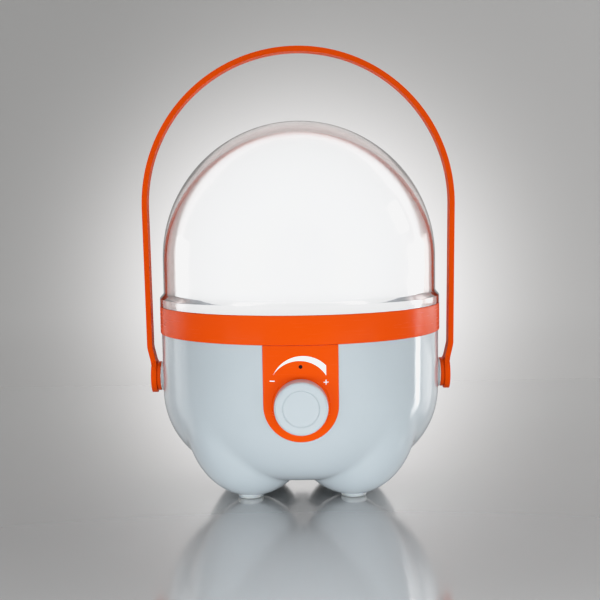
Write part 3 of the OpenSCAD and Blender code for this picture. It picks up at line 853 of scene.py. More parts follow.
def circuitBoard(name, finish):
    material, tree = emptyMaterial(name)
    trackFrame = tree.nodes.new("NodeFrame")
    trackFrame.label = "tracks under the mask"
    weaveFrame = tree.nodes.new("NodeFrame")
    weaveFrame.label = "weave of the laminate"

    place = tree.nodes.new("ShaderNodeTexCoord")
    place.label = "place on the board"

    tracks = tree.nodes.new("ShaderNodeTexBrick")
    tracks.label = "copper runs and gaps"
    tracks.parent = trackFrame
    tracks.offset = 0.5
    tracks.squash = 0.7
    tracks.inputs["Color1"].default_value = (*finish["copper"], 1)
    tracks.inputs["Color2"].default_value = (*finish["mask"], 1)
    tracks.inputs["Mortar"].default_value = (*[c * 0.6 for c in finish["mask"]], 1)
    tracks.inputs["Scale"].default_value = finish["trackScale"]
    tracks.inputs["Mortar Size"].default_value = 0.03

    stain = tree.nodes.new("ShaderNodeTexNoise")
    stain.label = "uneven mask"
    stain.parent = trackFrame
    stain.inputs["Scale"].default_value = 120.0
    stain.inputs["Detail"].default_value = 4.0

    stained = tree.nodes.new("ShaderNodeMix")
    stained.label = "mask over the tracks"
    stained.parent = trackFrame
    stained.data_type = "RGBA"
    stained.inputs[7].default_value = (*finish["mask"], 1)

    weave = tree.nodes.new("ShaderNodeTexWave")
    weave.label = "threads one way"
    weave.parent = weaveFrame
    weave.bands_direction = "X"
    weave.inputs["Scale"].default_value = 500.0

    weft = tree.nodes.new("ShaderNodeTexWave")
    weft.label = "threads the other way"
    weft.parent = weaveFrame
    weft.bands_direction = "Y"
    weft.inputs["Scale"].default_value = 500.0

    cloth = tree.nodes.new("ShaderNodeMath")
    cloth.label = "both threads"
    cloth.parent = weaveFrame
    cloth.operation = "MULTIPLY"

    clothBump = tree.nodes.new("ShaderNodeBump")
    clothBump.label = "weave as relief"
    clothBump.parent = weaveFrame
    clothBump.inputs["Distance"].default_value = 0.00002

    shine = tree.nodes.new("ShaderNodeMapRange")
    shine.label = "gloss of the mask"
    shine.inputs["To Min"].default_value = finish["roughness"][0]
    shine.inputs["To Max"].default_value = finish["roughness"][1]

    board = tree.nodes.new("ShaderNodeBsdfPrincipled")
    board.label = "board"

    surface = tree.nodes.new("ShaderNodeOutputMaterial")
    surface.label = "surface"

    tree.links.new(place.outputs["Object"], tracks.inputs["Vector"])
    tree.links.new(place.outputs["Object"], stain.inputs["Vector"])
    tree.links.new(stain.outputs["Fac"], stained.inputs[0])
    tree.links.new(tracks.outputs["Color"], stained.inputs[6])
    tree.links.new(stained.outputs[2], board.inputs["Base Color"])
    tree.links.new(place.outputs["Object"], weave.inputs["Vector"])
    tree.links.new(place.outputs["Object"], weft.inputs["Vector"])
    tree.links.new(weave.outputs["Fac"], cloth.inputs[0])
    tree.links.new(weft.outputs["Fac"], cloth.inputs[1])
    tree.links.new(cloth.outputs["Value"], clothBump.inputs["Height"])
    tree.links.new(clothBump.outputs["Normal"], board.inputs["Normal"])
    tree.links.new(stain.outputs["Fac"], shine.inputs["Value"])
    tree.links.new(shine.outputs["Result"], board.inputs["Roughness"])
    tree.links.new(board.outputs["BSDF"], surface.inputs["Surface"])
    spreadOut(tree)
    return material


def ledPackage():
    material, tree = emptyMaterial("ledPackage")
    windowFrame = tree.nodes.new("NodeFrame")
    windowFrame.label = "phosphor window"

    place = tree.nodes.new("ShaderNodeTexCoord")
    place.label = "place on the board"

    window = tree.nodes.new("ShaderNodeAttribute")
    window.label = "where the window is"
    window.parent = windowFrame
    window.attribute_name = "window"

    grain = tree.nodes.new("ShaderNodeTexNoise")
    grain.label = "grainy phosphor"
    grain.parent = windowFrame
    grain.inputs["Scale"].default_value = 3000.0

    gel = tree.nodes.new("ShaderNodeValToRGB")
    gel.label = "phosphor colour"
    gel.parent = windowFrame
    gel.color_ramp.elements[0].color = (0.86, 0.62, 0.12, 1)
    gel.color_ramp.elements[1].color = (0.95, 0.8, 0.3, 1)

    both = tree.nodes.new("ShaderNodeMix")
    both.label = "white frame round the window"
    both.data_type = "RGBA"
    both.inputs[6].default_value = (0.82, 0.82, 0.8, 1)

    lit = tree.nodes.new("ShaderNodeMath")
    lit.label = "only the window is lit"
    lit.operation = "MULTIPLY"
    lit.inputs[1].default_value = 2.0

    grainBump = tree.nodes.new("ShaderNodeBump")
    grainBump.label = "grain as relief"
    grainBump.inputs["Distance"].default_value = 0.00001

    shine = tree.nodes.new("ShaderNodeMapRange")
    shine.label = "satin frame, wetter window"
    shine.inputs["To Min"].default_value = 0.45
    shine.inputs["To Max"].default_value = 0.2

    chip = tree.nodes.new("ShaderNodeBsdfPrincipled")
    chip.label = "led"
    chip.inputs["Emission Color"].default_value = (1.0, 0.95, 0.88, 1)

    surface = tree.nodes.new("ShaderNodeOutputMaterial")
    surface.label = "surface"

    tree.links.new(place.outputs["Object"], grain.inputs["Vector"])
    tree.links.new(grain.outputs["Fac"], gel.inputs["Fac"])
    tree.links.new(window.outputs["Fac"], both.inputs[0])
    tree.links.new(gel.outputs["Color"], both.inputs[7])
    tree.links.new(both.outputs[2], chip.inputs["Base Color"])
    tree.links.new(window.outputs["Fac"], lit.inputs[0])
    tree.links.new(lit.outputs["Value"], chip.inputs["Emission Strength"])
    tree.links.new(window.outputs["Fac"], shine.inputs["Value"])
    tree.links.new(shine.outputs["Result"], chip.inputs["Roughness"])
    tree.links.new(grain.outputs["Fac"], grainBump.inputs["Height"])
    tree.links.new(grainBump.outputs["Normal"], chip.inputs["Normal"])
    tree.links.new(chip.outputs["BSDF"], surface.inputs["Surface"])
    spreadOut(tree)
    return material


plainResin = {
    "edgeWear": 0.0, "wornColour": (0.9, 0.9, 0.9),
    "specular": 0.5, "coat": 0.0, "coatRoughness": 0.1, "depthGlow": 0.0, "bend": 1.5,
}
# the white resin's colour is set darker and bluer than white plastic: painted shade and a painted blue cast
# of the light over its own white
glossWhitePaintedShade = dict(
    plainResin, colour=(0.44, 0.477, 0.503), driftScale=14.0, driftDepth=0.012,
    waveScale=26.0, waveDepth=0.00006, grainScale=1800.0, grainDepth=0.000002, roughness=(0.08, 0.16),
)
glossOrange = dict(
    plainResin, colour=(0.78, 0.070, 0.001), driftScale=20.0, driftDepth=0.03,
    waveScale=30.0, waveDepth=0.00004, grainScale=1600.0, grainDepth=0.000003,
    roughness=(0.24, 0.29), specular=0.28, bend=1.25,
)
satinOrange = dict(glossOrange, roughness=(0.42, 0.52), specular=0.12)  # the strap is a softer grade
printedInk = dict(
    plainResin, colour=(0.95, 0.95, 0.94), driftScale=60.0, driftDepth=0.02,
    waveScale=200.0, waveDepth=0.00001, grainScale=4000.0, grainDepth=0.000004,
    roughness=(0.35, 0.5), specular=0.3,
)
texturedBlack = dict(
    plainResin, colour=(0.022, 0.022, 0.023), driftScale=40.0, driftDepth=0.08,
    edgeWear=0.3, wornColour=(0.07, 0.07, 0.07),
    waveScale=60.0, waveDepth=0.00003, grainScale=1400.0, grainDepth=0.00002,
    roughness=(0.34, 0.5), specular=0.45,
)
smokedLens = dict(
    plainResin, colour=(0.018, 0.008, 0.008), driftScale=90.0, driftDepth=0.1,
    waveScale=150.0, waveDepth=0.00001, grainScale=3000.0, grainDepth=0.000001,
    roughness=(0.05, 0.14), specular=0.15,
)
naturalNylon = dict(
    plainResin, colour=(0.80, 0.79, 0.74), driftScale=50.0, driftDepth=0.03,
    edgeWear=0.1, wornColour=(0.9, 0.89, 0.85),
    waveScale=90.0, waveDepth=0.00002, grainScale=1500.0, grainDepth=0.000006,
    roughness=(0.35, 0.5), specular=0.4, depthGlow=0.2,
)
shrinkSleeve = dict(
    plainResin, colour=(0.04, 0.13, 0.42), driftScale=30.0, driftDepth=0.06,
    edgeWear=0.15, wornColour=(0.2, 0.3, 0.55),
    waveScale=110.0, waveDepth=0.00008, grainScale=2500.0, grainDepth=0.000003,
    roughness=(0.16, 0.3), coat=0.3, coatRoughness=0.12,
)
sinteredCore = dict(
    plainResin, colour=(0.06, 0.06, 0.065), driftScale=80.0, driftDepth=0.12,
    edgeWear=0.35, wornColour=(0.14, 0.14, 0.15),
    waveScale=150.0, waveDepth=0.00003, grainScale=1100.0, grainDepth=0.00003, roughness=(0.5, 0.68),
)
zincPlate = {
    "colour": (0.66, 0.67, 0.68), "tarnish": (0.5, 0.5, 0.49), "cloudScale": 160.0,
    "markStretch": (1.0, 1.0, 6.0), "markScale": 500.0, "markDepth": 0.00001, "roughness": (0.2, 0.38),
}
turnedBrass = {
    "colour": (0.80, 0.60, 0.28), "tarnish": (0.60, 0.41, 0.17), "cloudScale": 120.0,
    "markStretch": (1.0, 8.0, 1.0), "markScale": 450.0, "markDepth": 0.00001, "roughness": (0.16, 0.34),
}
greenBoard = {
    "mask": (0.015, 0.14, 0.05), "copper": (0.05, 0.24, 0.08), "trackScale": 160.0, "roughness": (0.2, 0.35),
}
whiteBoard = {
    "mask": (0.82, 0.83, 0.82), "copper": (0.76, 0.75, 0.70), "trackScale": 110.0, "roughness": (0.3, 0.42),
}
phenolicBoard = {
    "mask": (0.24, 0.11, 0.05), "copper": (0.05, 0.045, 0.04), "trackScale": 300.0, "roughness": (0.35, 0.5),
}
sealSilicone = {
    "colour": (0.72, 0.71, 0.69), "blendScale": 60.0, "dustScale": 300.0, "dust": 0.1,
    "pebbleScale": 2500.0, "pebbleDepth": 0.000006, "roughness": (0.3, 0.45),
    "clearness": 0.25, "depthGlow": 0.3,
}
padSilicone = {
    "colour": (0.80, 0.83, 0.84), "blendScale": 90.0, "dustScale": 350.0, "dust": 0.15,
    "pebbleScale": 2200.0, "pebbleDepth": 0.000008, "roughness": (0.3, 0.5),
    "clearness": 0.3, "depthGlow": 0.4,
}
redWire = {
    "colour": (0.55, 0.02, 0.015), "blendScale": 200.0, "dustScale": 500.0, "dust": 0.1,
    "pebbleScale": 3000.0, "pebbleDepth": 0.000004, "roughness": (0.35, 0.5),
    "clearness": 0.0, "depthGlow": 0.1,
}
yellowWire = dict(redWire, colour=(0.78, 0.56, 0.03))
blackWire = dict(redWire, colour=(0.025, 0.025, 0.026))

whiteShadePaintedMaterial = mouldedPlastic("whitePlasticPaintedShade", glossWhitePaintedShade)
orangeMaterial = mouldedPlastic("glossOrangePlastic", glossOrange)
strapMaterial = mouldedPlastic("satinOrangeStrap", satinOrange)
inkMaterial = mouldedPlastic("printedWhiteInk", printedInk)
blackMaterial = mouldedPlastic("texturedBlackPlastic", texturedBlack)
smokedMaterial = mouldedPlastic("smokedLensPlastic", smokedLens)
nylonMaterial = mouldedPlastic("naturalNylon", naturalNylon)
steelMaterial = platedMetal("zincPlatedSteel", zincPlate)
padMaterial = softRubber("padSilicone", padSilicone)
sealMaterial = softRubber("sealSilicone", sealSilicone)
ledMaterial = ledPackage()
boardMaterial = circuitBoard("whiteMaskBoard", whiteBoard)
clearMaterial = clearPlastic("clearPlastic", clearDome)
opalMaterial = opalPlastic("opalPlastic", litOpal)

# the frame's own parts that stay take these in place of their plain slots
slotFinish = {
    "steel": steelMaterial,
    "nylon": nylonMaterial,
    "black_plastic": blackMaterial,
    "smoked_plastic": smokedMaterial,
    "aluminium_board": boardMaterial,
    "brass": platedMetal("turnedBrass", turnedBrass),
    "cell_wrap": mouldedPlastic("shrinkSleeve", shrinkSleeve),
    "ferrite": mouldedPlastic("sinteredCore", sinteredCore),
    "green_laminate": circuitBoard("greenMaskBoard", greenBoard),
    "brown_laminate": circuitBoard("phenolicBoard", phenolicBoard),
    "red_insulation": softRubber("redInsulation", redWire),
    "yellow_insulation": softRubber("yellowInsulation", yellowWire),
    "black_insulation": softRubber("blackInsulation", blackWire),
}
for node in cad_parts.values():
    for place in node.material_slots:
        place.material = slotFinish.get(place.material.name, place.material)
print("materials made")


housing = {
    "cornerRadius": 40 * mm,
    "floor": 9.7 * mm,
    "wallRadius": bandRadius - 0.8 * mm,
    "topRadius": bandRadius - 0.5 * mm,
    "lobeOut": 33 * mm,
    "lobeHeight": 42 * mm,
    "lobeAxes": (35.5 * mm, 29.6 * mm, 41.5 * mm),
    "blend": 1.4 * mm,  # softness of the crease between lobe and bowl
    "wall": 2.2 * mm,
    "around": 320,
    "down": 120,
    "boss": {"hole": 4.35, "radius": (7.8, 7.6), "from": 66, "to": 69.9},  # millimetres
    "jackHole": 4.1 * mm, "bushingHole": 6.2 * mm, "axleHole": 4.35 * mm, "drill": (55 * mm, 75 * mm),
}
innerRadius = housing["wallRadius"] - housing["cornerRadius"]
cornerHeight = housing["floor"] + housing["cornerRadius"]
lean = (housing["topRadius"] - housing["wallRadius"]) / (bandLow - cornerHeight)


def bowlDistance(p):
    h = housing
    radial = np.hypot(p[..., 0], p[..., 1])
    height = p[..., 2]
    wall = radial - h["wallRadius"] - lean * (height - cornerHeight)
    corner = np.hypot(radial - innerRadius, height - cornerHeight) - h["cornerRadius"]
    floor = h["floor"] - height
    low = np.where(radial > innerRadius, corner, floor)
    return np.where(height > cornerHeight, wall, low)


def lobeDistance(p, angle):
    h = housing
    c, s = math.cos(angle), math.sin(angle)
    along = p[..., 0] * c + p[..., 1] * s - h["lobeOut"]
    across = -p[..., 0] * s + p[..., 1] * c
    local = np.stack([along, across, p[..., 2] - h["lobeHeight"]], -1)
    axes = np.array(h["lobeAxes"])
    k0 = np.linalg.norm(local / axes, axis=-1)
    k1 = np.linalg.norm(local / axes ** 2, axis=-1)
    return k0 * (k0 - 1) / np.maximum(k1, 1e-9)


def bodyDistance(p):
    # soft union of the bowl and its four lobes
    blend = housing["blend"]
    d = bowlDistance(p)
    for k in range(4):
        e = lobeDistance(p, math.radians(45 + 90 * k))
        h = np.maximum(blend - np.abs(d - e), 0) / blend
        d = np.minimum(d, e) - h * h * blend / 4
    return d


def surfaceAlong(origin, directions, depth=0.0):
    # distance along each direction to where the body's surface, moved in by depth, is met
    low = np.zeros(directions.shape[:-1])
    high = np.full(directions.shape[:-1], 130 * mm)  # past any part of the body
    for _ in range(40):
        middle = (low + high) / 2
        inside = bodyDistance(origin + directions * middle[..., None]) < -depth
        low = np.where(inside, middle, low)
        high = np.where(inside, high, middle)
    return (low + high) / 2


def bowlShell(around, down, depth):
    # rings of points from the rim down to the pole, seen from the middle of the rim
    origin = np.array([0, 0, bandLow - 0.02 * mm])
    spin = np.linspace(0, 2 * math.pi, around, endpoint=False)
    fall = np.linspace(0, math.pi / 2, down)[:, None]
    directions = np.stack([
        np.cos(fall) * np.cos(spin), np.cos(fall) * np.sin(spin), -np.sin(fall) + 0 * spin,
    ], -1)
    return origin + directions * surfaceAlong(origin, directions, depth)[..., None]


def makeHousing():
    h = housing
    points, faces = [], []
    outer = bowlShell(h["around"], h["down"], 0.0)
    inner = bowlShell(h["around"], h["down"] // 2, h["wall"])
    for shell in (outer, inner):
        start = len(points)
        rows, cols = shell.shape[:2]
        points.extend(shell.reshape(-1, 3))
        for i in range(rows - 1):
            for j in range(cols):
                k = (j + 1) % cols
                faces.append((
                    start + i * cols + j, start + (i + 1) * cols + j,
                    start + (i + 1) * cols + k, start + i * cols + k,
                ))
    innerStart = outer.shape[0] * outer.shape[1]
    for j in range(h["around"]):
        k = (j + 1) % h["around"]
        faces.append((j, k, innerStart + k, innerStart + j))
    return meshObject("bowlHousing", points, faces, 60)


def pivotBosses():
    # round pads that the handle's washers stand on, one at each side
    b = housing["boss"]
    outline = filleted(scaled([
        (b["hole"], b["from"], 0), (b["radius"][0], b["from"], 0),
        (b["radius"][1], b["to"], 0.5), (b["hole"], b["to"], 0.2),
    ]))
    return joined("pivotBosses", [
        revolved("boss", outline, 64, pointing(way, (0, 0, pivotHeight))) for way in ("right", "left")
    ])


def housingWithHoles():
    # holes for the jack, the dimmer's bushing and the two axles
    h = housing
    near, far = h["drill"]
    shell = makeHousing()
    for way, radius, height in (
        ("back", h["jackHole"], jackHeight), ("front", h["bushingHole"], knobHeight),
        ("right", h["axleHole"], pivotHeight), ("left", h["axleHole"], pivotHeight),
    ):
        outline = [(0, near), (radius, near), (radius, far), (0, far)]
        cutBy(shell, revolved("drill", outline, 48, pointing(way, (0, 0, height))))
    return shell


finished(housingWithHoles(), whiteShadePaintedMaterial, "body", ["lower_housing"])
finished(pivotBosses(), whiteShadePaintedMaterial, "body")
print("bowl housing made")


dome = {
    "radius": domeBox[1].x - 1.9 * mm, "wall": 3 * mm, "centre": 115 * mm, "segments": 192,
    "skirtTop": bandTop + 4 * mm, "slopeTop": bandTop + 6.3 * mm, "sit": bandTop + 0.06 * mm,
    "spigot": 66.4 * mm, "spigotLow": 86.05 * mm,
    "snap": 67.0 * mm, "snapHeights": (87.0 * mm, 87.3 * mm, 88.1 * mm, 88.4 * mm),
    "gate": 1.5 * mm,
}


def outerDome():
    d = dome
    outside = arcPoints(d["radius"], d["centre"], 0, 88, 60)
    top = d["centre"] + d["radius"]
    # the small round mark that the mould's gate leaves at the top
    gate = [
        (d["gate"], top - 0.02 * mm), (d["gate"] * 0.9, top + 0.14 * mm), (d["gate"] * 0.6, top + 0.16 * mm),
        (d["gate"] * 0.3, top + 0.06 * mm), (0.0, top + 0.05 * mm),
    ]
    inside = arcPoints(d["radius"] - d["wall"], d["centre"], 90, 0, 60)
    snapLow, bumpLow, bumpTop, snapTop = d["snapHeights"]
    foot = filleted([
        (d["radius"] - d["wall"], d["centre"], 0),
        (d["radius"] - d["wall"], d["spigotLow"], 0.3 * mm),
        (d["spigot"], d["spigotLow"], 0.2 * mm),
        (d["spigot"], snapLow, 0),
        (d["snap"], bumpLow, 0.15 * mm),
        (d["snap"], bumpTop, 0.15 * mm),
        (d["spigot"], snapTop, 0),
        (d["spigot"], d["sit"], 0.2 * mm),
        (domeBox[1].x, d["sit"], 0.35 * mm),
        (domeBox[1].x, d["skirtTop"], 0.9 * mm),
        (d["radius"], d["slopeTop"], 1.6 * mm),
        (d["radius"], d["centre"], 0),
    ], 4)
    return revolved("outerDome", outside[1:] + gate + inside[:-1] + foot, d["segments"], smoothAngle=28)


opal = {
    "radius": opalBox[1].x, "wall": 1.6 * mm, "centre": 115.4 * mm, "floor": 91 * mm, "segments": 160,
    "ring": (50 * mm, 52.4 * mm), "ringLow": 87.85 * mm,  # the ring under it that sits in the deck's groove
}


def diffuserDome():
    d = opal
    outside = arcPoints(d["radius"], d["centre"], 0, 90, 48)
    inside = arcPoints(d["radius"] - d["wall"], d["centre"], 90, 0, 48)
    foot = filleted([
        (d["radius"] - d["wall"], d["centre"], 0),
        (d["radius"] - d["wall"], d["floor"] + d["wall"], 3.4 * mm),
        (d["ring"][0], d["floor"] + d["wall"], 0.3 * mm),
        (d["ring"][0], d["ringLow"], 0.2 * mm),
        (d["ring"][1], d["ringLow"], 0.2 * mm),
        (d["ring"][1], d["floor"], 0.5 * mm),
        (d["radius"], d["floor"], 5 * mm),
        (d["radius"], d["centre"], 0),
    ], 8)
    return revolved("diffuserDome", outside[1:] + inside[1:-1] + foot, d["segments"])


band = {  # millimetres
    "lip": 1.1, "lipDepth": 1, "bore": 66.6, "snap": 67.3, "snapHeights": (86.7, 88.7),
    "flange": 63, "flangeHeights": (84, 86), "skirtBore": 67.6,
}


def collarBand():
    b = band
    radius, low, top = bandRadius / mm, bandLow / mm, bandTop / mm
    lip, ledge, bore = radius - b["lip"], top - b["lipDepth"], b["bore"]
    snapLow, snapTop = b["snapHeights"]
    flangeLow, flangeTop = b["flangeHeights"]
    outline = filleted(scaled([
        (radius, low, 0.45), (radius, top, 0.35), (lip, top, 0.1), (lip, ledge, 0), (bore, ledge, 0),
        (bore, snapTop, 0), (b["snap"], snapTop, 0), (b["snap"], snapLow, 0), (bore, snapLow, 0),
        (bore, flangeTop, 0), (b["flange"], flangeTop, 0.2), (b["flange"], flangeLow, 0.2),
        (b["skirtBore"], flangeLow, 0.2), (b["skirtBore"], low, 0.2),
    ]), 4)
    return revolved("collarBand", outline, 192)


deck = {  # millimetres
    "hole": 4, "radius": 64.6, "low": 86, "top": 89, "groove": (49.9, 52.5), "grooveFloor": 87.8,
}


def reflectorDeck():
    d = deck
    inner, outer = d["groove"]
    outline = filleted(scaled([
        (d["hole"], d["low"], 0.2), (d["radius"], d["low"], 0.3), (d["radius"], d["top"], 0.5),
        (outer, d["top"], 0.2), (outer, d["grooveFloor"], 0), (inner, d["grooveFloor"], 0),
        (inner, d["top"], 0.2), (d["hole"], d["top"], 0.4),
    ]), 3)
    return revolved("reflectorDeck", outline, 160)


seal = {"inner": 66.65, "outer": 68.8, "low": -0.96, "top": 0.04}  # millimetres, heights from the band's top


def domeSeal():
    low, top = bandTop / mm + seal["low"], bandTop / mm + seal["top"]
    outline = filleted(scaled([
        (seal["inner"], low, 0.2), (seal["outer"], low, 0.2),
        (seal["outer"], top, 0.3), (seal["inner"], top, 0.3),
    ]), 4)
    return revolved("domeSeal", outline, 160)


finished(outerDome(), clearMaterial, "body", ["outer_dome"])
finished(diffuserDome(), opalMaterial, "body", ["diffuser_dome"])
finished(collarBand(), orangeMaterial, "body", ["collar_band"])
finished(reflectorDeck(), whiteShadePaintedMaterial, "body", ["deck"])
finished(domeSeal(), sealMaterial, "body", ["dome_seal"])
print("domes and band made")


ledRings = {
    "counts": (8, 14, 20), "radii": (15 * mm, 30 * mm, 42 * mm), "size": (3.5 * mm, 2.8 * mm, 0.8 * mm),
    "corner": 0.25 * mm, "frame": 0.35 * mm, "step": 0.12 * mm, "sunk": 0.14 * mm,
}


def ledUnit():
    # a low bevelled block with a sunk round-cornered window, marked for its finish
    long, wide, tall = ledRings["size"]
    work = bmesh.new()
    mark = work.faces.layers.float.new("window")
    block = Matrix.Translation((0, 0, tall / 2)) @ Matrix.Diagonal((long, wide, tall, 1))
    bmesh.ops.create_cube(work, size=1.0, matrix=block)
    upright = [e for e in work.edges if abs(e.verts[0].co.z - e.verts[1].co.z) > tall / 2]
    bmesh.ops.bevel(
        work, geom=upright, offset=ledRings["corner"], segments=2, affect="EDGES", profile=0.5,
    )
    top = max(work.faces, key=lambda f: f.calc_center_median().z)
    bmesh.ops.inset_region(work, faces=[top], thickness=ledRings["frame"])
    bmesh.ops.inset_region(work, faces=[top], thickness=ledRings["step"], depth=-ledRings["sunk"])
    top[mark] = 1.0
    mesh = bpy.data.meshes.new("ledUnit")
    work.to_mesh(mesh)
    work.free()
    unit = bpy.data.objects.new("ledUnit", mesh)
    bpy.context.scene.collection.objects.link(unit)
    return unit


def ledArray():
    unit = ledUnit()
    rings = []
    for count, radius in zip(ledRings["counts"], ledRings["radii"]):
        rings.append(ringOf("leds" + str(count), unit, {
            "finish": ledMaterial, "count": count, "radius": radius, "height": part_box("leds")[0].z,
            "firstAngle": 0.0, "looseTurn": 0.0, "facing": "X",
        }))
    bpy.data.objects.remove(unit)
    return joined("ledArray", rings)


screwSizes = {
    "deck": {"length": 17 * mm, "headRadius": 2.78 * mm, "headHeight": 0.0, "sink": 1.5 * mm},
    "board": {"length": 8 * mm, "headRadius": 2.6 * mm, "headHeight": 1.6 * mm, "sink": 0.0},
    "shank": 1.28 * mm, "core": 0.78, "pitch": 0.8 * mm,  # the core is a share of the shank
    "neck": 0.6 * mm, "threadFrom": 0.9 * mm, "recess": 0.7 * mm, "recessDepth": 0.85 * mm,
}


def screwUnit(name, sizes):
    # seat at height 0, head above it or sunk into it, thread below, cross recess in the head
    s = screwSizes
    shank, core = s["shank"], s["shank"] * s["core"]
    head, up, sink = sizes["headRadius"], sizes["headHeight"], sizes["sink"]
    if up:
        corners = [
            (0, up, 0), (head * 0.72, up, up), (head, up * 0.35, 0.2 * mm),
            (head, 0, 0.1 * mm), (shank, 0, 0),
        ]
    else:
        corners = [(0, 0, 0), (head, 0, 0.08 * mm), (shank, -sink, 0.2 * mm)]
    outline = filleted(corners + [(shank, -sink - s["neck"], 0), (0, -sink - s["neck"], 0)])[:-1]
    turn = -sink - s["threadFrom"]
    while turn > -sizes["length"] + 2 * s["pitch"]:
        outline += [(core, turn), (shank, turn - s["pitch"] / 2)]
        turn -= s["pitch"]
    outline += [(core, turn), (0.0, -sizes["length"])]
    unit = revolved(name, outline, 20)
    a, b = s["recess"] / 2, sizes["headRadius"] * 0.55
    cross = [
        (a, a), (a, b), (-a, b), (-a, a), (-b, a), (-b, -a),
        (-a, -a), (-a, -b), (a, -b), (a, -a), (b, -a), (b, a),
    ]
    return cutBy(unit, prism("cross", cross, up - s["recessDepth"], up + mm))


def screwRing(name, kind, count, firstAngle, radius, height):
    # a ring of like screws, each left at its own turn
    unit = screwUnit(name + "Unit", screwSizes[kind])
    ring = ringOf(name, unit, {
        "finish": steelMaterial, "count": count, "facing": "X", "firstAngle": firstAngle, "looseTurn": 6.2,
        "radius": radius, "height": height,
    })
    bpy.data.objects.remove(unit)
    return ring


def deckScrews():
    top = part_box("deck_screws")[1]
    radius = (top.x - screwSizes["deck"]["headRadius"]) * math.sqrt(2)
    return screwRing("deckScrews", "deck", 4, 45.0, radius, top.z)


def ledBoardScrews():
    low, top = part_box("led_board_screws")
    sizes = screwSizes["board"]
    radius = -low.y - sizes["headRadius"]
    return screwRing("ledBoardScrews", "board", 3, 30.0, radius, top.z - sizes["headHeight"])


finished(ledArray(), ledMaterial, "body", ["leds"])
finished(deckScrews(), steelMaterial, "body", ["deck_screws"])
finished(ledBoardScrews(), steelMaterial, "body", ["led_board_screws"])
print("light board filled")


panel = {
    "halfWidth": 16.9 * mm, "proud": 0.5 * mm, "deep": 1.0 * mm, "edge": 0.35 * mm,
    "seat": 12.8 * mm, "seatFace": 69.8 * mm, "hole": 6.2 * mm, "top": bandLow - 0.06 * mm,
    "steps": 28, "arcSteps": 64,
}


def frontSurface(x, z, offset):
    # how far forward the bowl's face is at x, z when moved out by offset
    h = housing
    if z >= cornerHeight:
        radius = h["wallRadius"] + lean * (z - cornerHeight) + offset
    else:
        radius = innerRadius + math.sqrt((h["cornerRadius"] + offset) ** 2 - (z - cornerHeight) ** 2)
    return math.sqrt(max(radius ** 2 - x ** 2, 0))


def tongueOutline(inset):
    # points of the tongue's edge, clockwise from the top right corner, with small steps
    half = panel["halfWidth"] - inset
    top = panel["top"] - inset
    found = []
    steps, arcSteps = panel["steps"], panel["arcSteps"]
    for k in range(steps):
        found.append((half, top + (knobHeight - top) * k / steps))
    for k in range(arcSteps):
        a = -math.pi * k / arcSteps
        found.append((half * math.cos(a), knobHeight + half * math.sin(a)))
    for k in range(steps):
        found.append((-half, knobHeight + (top - knobHeight) * k / steps))
    for k in range(steps):
        found.append((-half + 2 * half * k / steps, top))
    return found


def controlPanel():
    p = panel
    edge = tongueOutline(0.0)
    inner = tongueOutline(p["edge"])
    count = len(edge)
    angles = [math.atan2(z - knobHeight, x) for x, z in edge]

    def circleRing(radius, forward):
        row = []
        for a in angles:
            x, z = radius * math.cos(a), knobHeight + radius * math.sin(a)
            row.append((x, -(forward if forward else frontSurface(x, z, p["proud"])), z))
        return row

    def betweenRing(share, outline, offset):
        row = []
        for a, (x, z) in zip(angles, outline):
            cx = (p["seat"] + 0.35 * mm) * math.cos(a)
            cz = knobHeight + (p["seat"] + 0.35 * mm) * math.sin(a)
            px, pz = cx + (x - cx) * share, cz + (z - cz) * share
            row.append((px, -frontSurface(px, pz, offset), pz))
        return row

    # the seat's hole and face, then the skin out to the edge, round it, and back under
    back = circleRing(p["hole"], p["seatFace"] - 2 * mm)
    rings = [
        back,
        circleRing(p["hole"], p["seatFace"] - 0.2 * mm),
        circleRing(p["hole"] + 0.2 * mm, p["seatFace"]),
        circleRing(p["seat"] - 0.3 * mm, p["seatFace"]),
        circleRing(p["seat"] - 0.05 * mm, p["seatFace"] - 0.08 * mm),
        circleRing(p["seat"] + 0.3 * mm, None),
    ]
    for share in (0.0, 0.12, 0.25, 0.4, 0.55, 0.7, 0.85, 1.0):
        rings.append(betweenRing(share, inner, p["proud"]))
    for inset, drop in ((p["edge"] * 0.3, 0.1 * mm), (0.0, 0.35 * mm)):
        rings.append([(x, y + drop, z) for x, y, z in betweenRing(1.0, tongueOutline(inset), p["proud"])])
    for share in (1.0, 0.6, 0.2):
        rings.append(betweenRing(share, edge, -p["deep"]))
    rings.append(back)
    points, faces = [], []
    for row in rings:
        points.extend(row)
    for i in range(len(rings) - 1):
        for j in range(count):
            k = (j + 1) % count
            faces.append((i * count + j, i * count + k, (i + 1) * count + k, (i + 1) * count + j))
    return meshObject("controlPanel", points, faces, 40)


marks = {
    "thick": 0.1 * mm, "lift": 0.52 * mm, "steps": 72,
    "outer": (14.3 * mm, 0.9 * mm, knobHeight + 8.1 * mm),  # radius and centre of the arc's upper edge
    "inner": (13.8 * mm, -0.6 * mm, knobHeight + 6.5 * mm),
    "leftTip": -12.2 * mm, "rightCut": 11.3 * mm,
    "sign": 2.2 * mm, "stroke": 0.4 * mm,
    "minusAt": (-12.65 * mm, knobHeight + 11.25 * mm), "plusAt": (11.2 * mm, knobHeight + 10.5 * mm),
}


